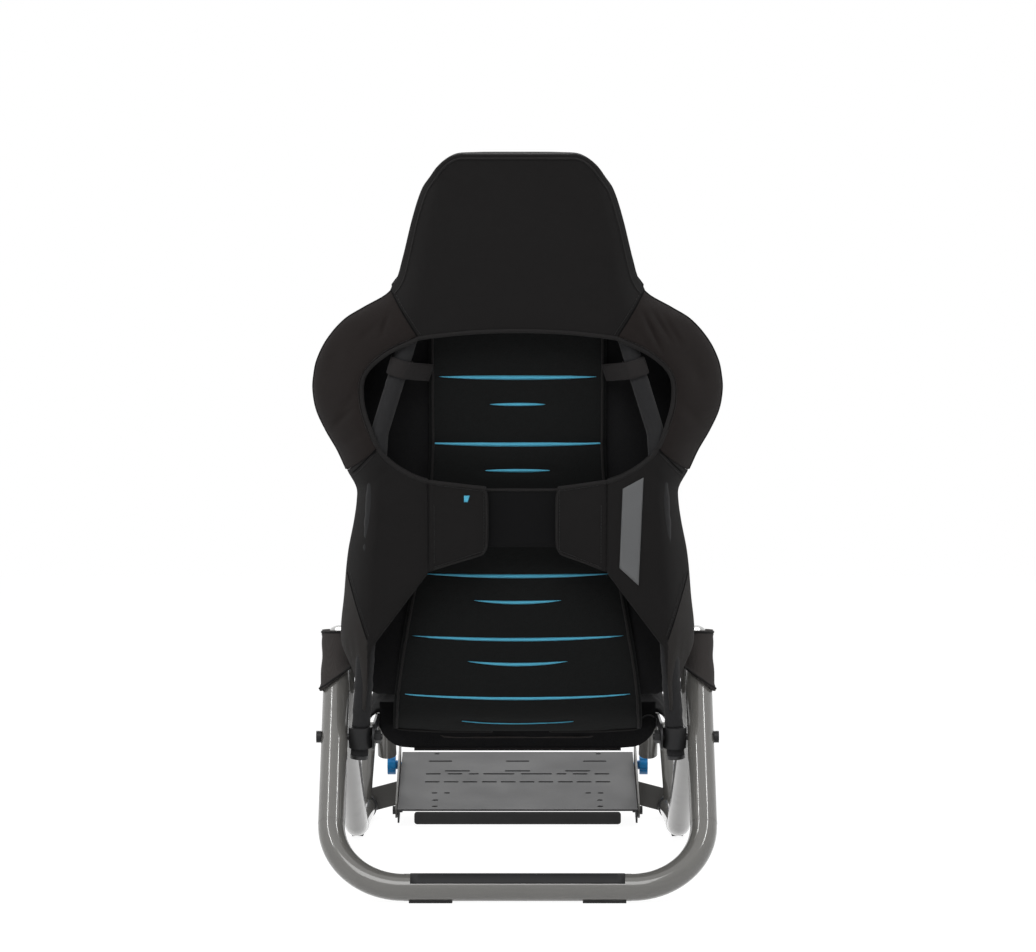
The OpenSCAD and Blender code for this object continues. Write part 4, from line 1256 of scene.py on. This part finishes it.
# %% [markdown]
# ## Piping, bindings and stitches
# Now that the cloth has its final shape, the seams are laid on it. A bound edge follows the whole oval,
# piping follows the rims, and stitches run beside both.

# %% Binding round the oval
cover_tree = surface_of(headrest, *wings.values(), *covers.values(), *flaps.values())
BACKWARD = turned(0, 1, 0).normalized()


RAY_FROM, RAY_LONG = 90, 0.16        # rays start this far behind the tube, in mm, and run this far, in m


def seen_from_behind(x, z):
    """What a ray from behind meets at (x, z) of the backrest's frame: place, normal, face and distance."""
    return cover_tree.ray_cast(BACK @ Vector((x, RAY_FROM, z)), -BACKWARD, RAY_LONG)


def on_cover(xz, lift=0.0, step=4.0):
    """World points and normals of the cover behind points (x, z) of the backrest's frame."""
    xz = np.array(xz, float)
    points, normals = [], []
    for p in resample(np.stack([xz[:, 0], wrap_y(xz[:, 0], xz[:, 1]), xz[:, 1]], -1), step):
        hit, normal, _, _ = seen_from_behind(p[0], p[2])
        if hit is None:
            hit, normal, _, _ = cover_tree.find_nearest(BACK @ Vector(p))
        points.append(hit + BACKWARD * lift * MM)
        normals.append(normal if normal.dot(BACKWARD) > 0.2 else BACKWARD)
    return points, normals


def inset(line, by):
    """A plane line moved to its left by `by`, one number or one for each point."""
    p = np.array(line, float)
    run = np.gradient(p, axis=0)
    run /= np.linalg.norm(run, axis=1, keepdims=True)
    return p + np.stack([-run[:, 1], run[:, 0]], -1) * np.reshape(by, (-1, 1))


def oval_edge(side):
    x, z = oval(np.linspace(FLAP_K, 7.0, 60))
    return [(side * a, b) for a, b in zip(x, z)]


q = np.linspace(1, -1, 42)[1:-1]
top_edge = [(SEAM_FOOT[0] * v, SEAM_FOOT[1] + head_rise(v)) for v in q]
flap_top = {s: [(s * between(TIP_AT[s] + 2, 124, v), between(364, 373, v)) for v in np.linspace(0, 1, 16)]
            for s in (1, -1)}
edge_line = np.array(flap_top[1] + oval_edge(1) + top_edge + oval_edge(-1)[::-1] + flap_top[-1][::-1])
# the binding moves out over the edge on its way up
inward = between(-2.6, 2.6, smooth((edge_line[:, 1] - 395) / 40))
edge_on = inset(edge_line, -3.4)
placed, _ = on_cover(resample(np.insert(edge_on, 1, 0, axis=1), 3)[:, [0, 2]], 0.0, 3.0)
shift = inset(edge_line, inward + 3.4) - inset(edge_line, 0)
share = np.linspace(0, 1, len(placed))
along = np.linspace(0, 1, len(edge_line))
moved = [p + turned(np.interp(s, along, shift[:, 0]), -0.8, np.interp(s, along, shift[:, 1]))
         for p, s in zip(placed, share)]
oval_binding = tube_mesh("oval_binding", [(moved, [BACKWARD] * len(moved))], 3.1, tape, sides=12, flat=0.75)
t = np.linspace(-116, 116, 60)
band_line = [BACK @ Vector((x, 5.2 - 1.5 * math.cos(x / 75), 357)) for x in t]
band_binding = tube_mesh("band_binding", [(band_line, [BACKWARD] * len(band_line))], 2.2, tape, flat=0.9)
ride_all("backrest", oval_binding, band_binding)
print("binding is", round(sum((b - a).length for a, b in zip(moved, moved[1:])), 2), "m long")

# %% Piping
t = np.linspace(0.25, 1, 60)
hx, hz = head_edge(t)
right = list(zip(hx, hz))
top = [(v, TOP) for v in np.linspace(hx[-1], -hx[-1], 16)[1:-1]]
head_rim = right + top + [(-a, b) for a, b in right[::-1]]
front_rim = [(x, -30, z) for x, z in inset(head_rim, 5.0)]
piping = [on_cover(inset(head_rim, 6.0), 0.3), lay(resample(front_rim, 4), surface_of(headrest), 0.8)]
ride_all("backrest", tube_mesh("headrest_piping", piping, 1.5, tape))

rim_lines = []
for side in (1, -1):
    z = np.linspace(WING_LOW[1] + 2, SEAM_TOP[1] - 2, 70)
    for back, lift in ((1.0, 0.3), (7.5, -0.3)):
        x = half_w(z) - 0.5
        line = resample(np.stack([side * x, wrap_y(x, z) - back, z], -1), 4)
        rim_lines.append(lay(line, surface_of(wings[side]), lift))
ride_all("backrest", tube_mesh("wing_piping", rim_lines, 1.2, tape))
print("piping lines:", len(piping) + len(rim_lines))

# %% Stitches and seams of the cover
STITCH_LIFT, STITCH_STEP = 0.15, 2.5
(wing_x, wing_z), (low_x, low_z) = oval(WING_FOOT_K), WING_LOW      # ends of the seam under a wing
(foot_x, foot_z), (top_x, top_z) = SEAM_FOOT, SEAM_TOP              # ends of the seam beside the headrest
(tip_z, tip_x), (side_z, side_x) = SIDE_SEAM                        # ends of the slanted seam
beside_oval = inset(np.stack(oval(np.linspace(2.5, 6.8, 50)), -1), -2.2)

rows = []
for side in (1, -1):
    tip = TIP_AT[side] + 5
    for line in (beside_oval,
                 [(117, 256), (117, 340)],
                 [(foot_x - 4, foot_z + 4), (top_x - 5, top_z - 2)],
                 [(wing_x + 6, wing_z - 9), (low_x, low_z - 5)],
                 [(side_x - 6, side_z), (tip_x - 3, tip_z + 4)],
                 [(112, 366), (tip, 358), (tip, 273), (116, 250)]):
        rows.append(on_cover([(side * x, z) for x, z in line], STITCH_LIFT, STITCH_STEP))
ride_all("backrest", stitch_mesh("cover_stitches", rows))
# Near-black cords along the panel seams: painted shade for the grooves where the panels are sewn together.
seam_shade_lines = [on_cover([(s * side_x, side_z), (s * tip_x, tip_z)], 0.1) for s in (1, -1)]
for s in (1, -1):
    seam_shade_lines.append(on_cover([(s * (foot_x + 1), foot_z + 1), (s * (top_x + 1), top_z - 1)], 0.1))
    seam_shade_lines.append(on_cover([(s * (wing_x + 4), wing_z - 1), (s * (low_x + 1), low_z)], 0.1))
ride_all("backrest", tube_mesh("seam_shade_cords", seam_shade_lines, 1.0, painted_seam_shade))
flap_rims = []
for s in (1, -1):
    tip = TIP_AT[s]
    rim = [(118, 247), (tip + 16, 264.5), (tip + 7, 268), (tip + 2.2, 276), (tip + 1.2, 315),
           (tip + 2.2, 354), (tip + 6, 360)]
    flap_rims.append(on_cover([(s * x, z) for x, z in rim], 0.2, 3.0))
ride_all("backrest", tube_mesh("flap_bindings", flap_rims, 1.7, tape, flat=0.8))
print("rows of stitches:", len(rows))

# %% Edges of the sling, the flaps and the seat
sling_lines = []
for s in (1, -1):
    z = np.linspace(-10, SLING_TOP - 3, 90)
    for face in (1, -1):
        x = sling_half(z) - 3
        line = np.stack([s * x, sling_y(z) - 8 + face * 12, z], -1)
        sling_lines.append(lay(resample(line, 5), sling_tree, 0.9))
foot_line = np.stack([np.linspace(-172, 172, 60), sling_y(np.full(60, -10.0)) - 2, np.full(60, -10.0)], -1)
sling_lines.append(lay(resample(foot_line, 5), sling_tree, 0.9))
ride_all("backrest", tube_mesh("sling_piping", sling_lines, 1.9, tape))

seat_lines = []
for s in (1, -1):
    u = np.linspace(282, SEAT_FRONT_U - 4, 60)
    x = np.full_like(u, s * SEAM_X)
    above = place(x, u, seat_low(x, u) + seat_thick(x, u) + 8)
    seat_lines.append(lay(resample(above, 5), seat_tree, 0.5, FLOOR))
ride_all("frame", tube_mesh("seat_piping", seat_lines, 1.6, tape))
for s, bolster in bolsters.items():
    z = np.linspace(80, 616, 90)
    inner, outer, inner_y, outer_y = bolster_edges(z)
    tree = surface_of(bolster)
    lines = [lay(resample(np.stack([s * (inner + 16), inner_y - 70, z], -1), 5), tree, 0.5),
             lay(resample(np.stack([s * (outer - 3), outer_y - 14, z], -1), 5), tree, 0.5)]
    ride_all("backrest", tube_mesh(("left" if s > 0 else "right") + "_bolster_piping", lines, 1.5, tape))
print("sling seams:", len(sling_lines), "seat seams:", len(seat_lines))

# %% [markdown]
# ## Plain patch, tag and tube band
# Where such seats carry printed names, this one stays plain: a slanted patch of woven cloth on the right,
# a small folded tag on the left flap, and a plain dark band on the rear bar.

# %% Patch, tag and band
def quad_patch(name, near, far, finish, rows=24, cols=8, thick=0.9):
    """Flat cloth sewn on the cover between two lines, each from its top to its foot, as (x, z, x, z)."""
    def down(line):
        return zip(np.linspace(line[0], line[2], rows + 1), np.linspace(line[1], line[3], rows + 1))

    lines = [[((1 - s) * a + s * c, (1 - s) * b + s * d) for s in np.linspace(0, 1, cols + 1)]
             for (a, b), (c, d) in zip(down(near), down(far))]
    faces = []
    for up in (0.4 + thick, 0.4):
        rows_laid = []
        for line in lines:
            points = [seen_from_behind(x, z)[0] for x, z in line]
            rows_laid.append([tuple(p + BACKWARD * up * MM) for p in points])
        faces.append(np.array(rows_laid))
    made = sew_pad(name, *faces, finish, matrix=WORLD, strips=1)
    ride_all("backrest", made)


quad_patch("plain_patch", (-147, 362, -143, 249), (-176, 378, -170, 224), patch_cloth)
quad_patch("folded_tag", (75, 352, 75, 343), (67, 352, 70, 343), blue_thread, rows=4, cols=4, thick=1.4)
BAND_HALF, BAND_FROM, BAND_TO = 148.0, 22, 104
arc = np.radians(np.linspace(BAND_FROM, BAND_TO, 18))
xs = np.linspace(-BAND_HALF, BAND_HALF, 25)
ring = [np.array([[(x, rear_mm + r * math.cos(a), TUBE_HIGH + r * math.sin(a)) for a in arc] for x in xs])
        for r in (TUBE / 2 + 0.55, TUBE / 2 + 0.1)]
bar_band = sew_pad("rear_bar_band", *ring, band_film, matrix=FLOOR, strips=1)
ride_all("frame", bar_band)
print("band is", 2 * BAND_HALF, "mm long")

# %% [markdown]
# ## Heel lip
# The lip under the plate's rear edge runs along most of the plate. Its section is the solid's own: the
# solid's two ends are drawn apart, and everything between them stays straight.

# %% Heel lip
LIP_WIDER = 69.0                              # how far each end is drawn outward
solid = frame["nodes"]["heel_stop"]
lip = bpy.data.objects.new("heel_lip", solid.data.copy())
lip.data.transform(solid.matrix_world)
for v in lip.data.vertices:
    v.co.x += math.copysign(LIP_WIDER * MM, v.co.x)
bpy.context.scene.collection.objects.link(lip)
ride_all("pedal_board", lip)
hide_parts("heel_stop")
print("heel lip is", round(lip.dimensions.x * 1000), "mm wide")

# %% [markdown]
# ## Floor and light
# The floor is plain and pale. Cameras and mirrors see it and the sky as white, through Light Path, while
# only a modest amount of light reaches the seat. One large soft lamp stands behind and one in front, so
# the black cloth keeps its form. Two narrow strips hang over the rear legs, and their reflections give
# the tubes long bright streaks.

# %% Floor, sky and lamps
def seen_rays(graph):
    """1 for what the camera sees, directly or in a mirror or through glass, and 0 for light on its way."""
    kinds = graph.node("LightPath", {}).socket.node.outputs
    rays = [Signal(graph, kinds[f"Is {kind} Ray"]) for kind in ("Camera", "Glossy", "Transmission")]
    return (rays[0] + rays[1] + rays[2]).clamp()


floor_mesh = bpy.data.meshes.new("floor")
FAR = 14.0                  # half the floor's width, m
floor_mesh.from_pydata([(-FAR, -FAR, 0), (FAR, -FAR, 0), (FAR, FAR, 0), (-FAR, FAR, 0)], [], [(0, 1, 2, 3)])
floor = bpy.data.objects.new("floor", floor_mesh)
bpy.context.scene.collection.objects.link(floor)
f = Finish("pale_floor")
f.feed(f.shader.inputs["Base Color"], (0.9, 0.9, 0.9))
f.feed(f.shader.inputs["Roughness"], 0.9)
GLOW, GLOW_SHARE = 1.12, 0.86
glow = f.node("Emission", {}, Color=(1.0, 1.0, 1.0), Strength=GLOW)
both = f.node("MixShader", {}, seen_rays(f) * GLOW_SHARE, Signal(f, f.shader.outputs[0]), glow)
f.tree.links.new(both.socket, f.tree.nodes["Material Output"].inputs[0])
floor_mesh.materials.append(f.material)

SKY = 0.24                  # how strongly the white sky lights the seat
world = bpy.data.worlds.new("studio")
bpy.context.scene.world = world
world.use_nodes = True
sky = Graph(world.node_tree)
background = sky.tree.nodes["Background"].inputs
sky.feed(background["Strength"], sky.node("Math", {"operation": "MAXIMUM"}, seen_rays(sky), SKY))
sky.feed(background["Color"], (1.0, 1.0, 1.0))


def lamp(name, at, size, watts, towards=(0, 0, 0.5), along=(0, 0, 1)):
    """A soft rectangular lamp that faces `towards`, with its length along `along`."""
    light = bpy.data.lights.new(name, "AREA")
    light.shape, light.size, light.size_y, light.energy = "RECTANGLE", *size, watts
    made = bpy.data.objects.new(name, light)
    made.location = at
    back = (Vector(at) - Vector(towards)).normalized()
    side = Vector(along).cross(back).normalized()
    made.rotation_euler = Matrix((side, back.cross(side), back)).transposed().to_euler()
    bpy.context.scene.collection.objects.link(made)


LEG = (0, -0.616, 0.788)     # direction of the rear legs, which the strips follow
lamp("rear_top", (0.6, 3.8, 3.0), (3.4, 2.2), 84)
lamp("left_strip", (1.62, 1.1, 2.85), (0.2, 2.2), 22, (0.26, 0.6, 0.2), LEG)
lamp("right_strip", (-1.62, 1.1, 2.85), (0.2, 2.2), 22, (-0.26, 0.6, 0.2), LEG)
lamp("front_top", (0, -3.2, 3.2), (2.4, 1.6), 80)
print("lamps: 4")
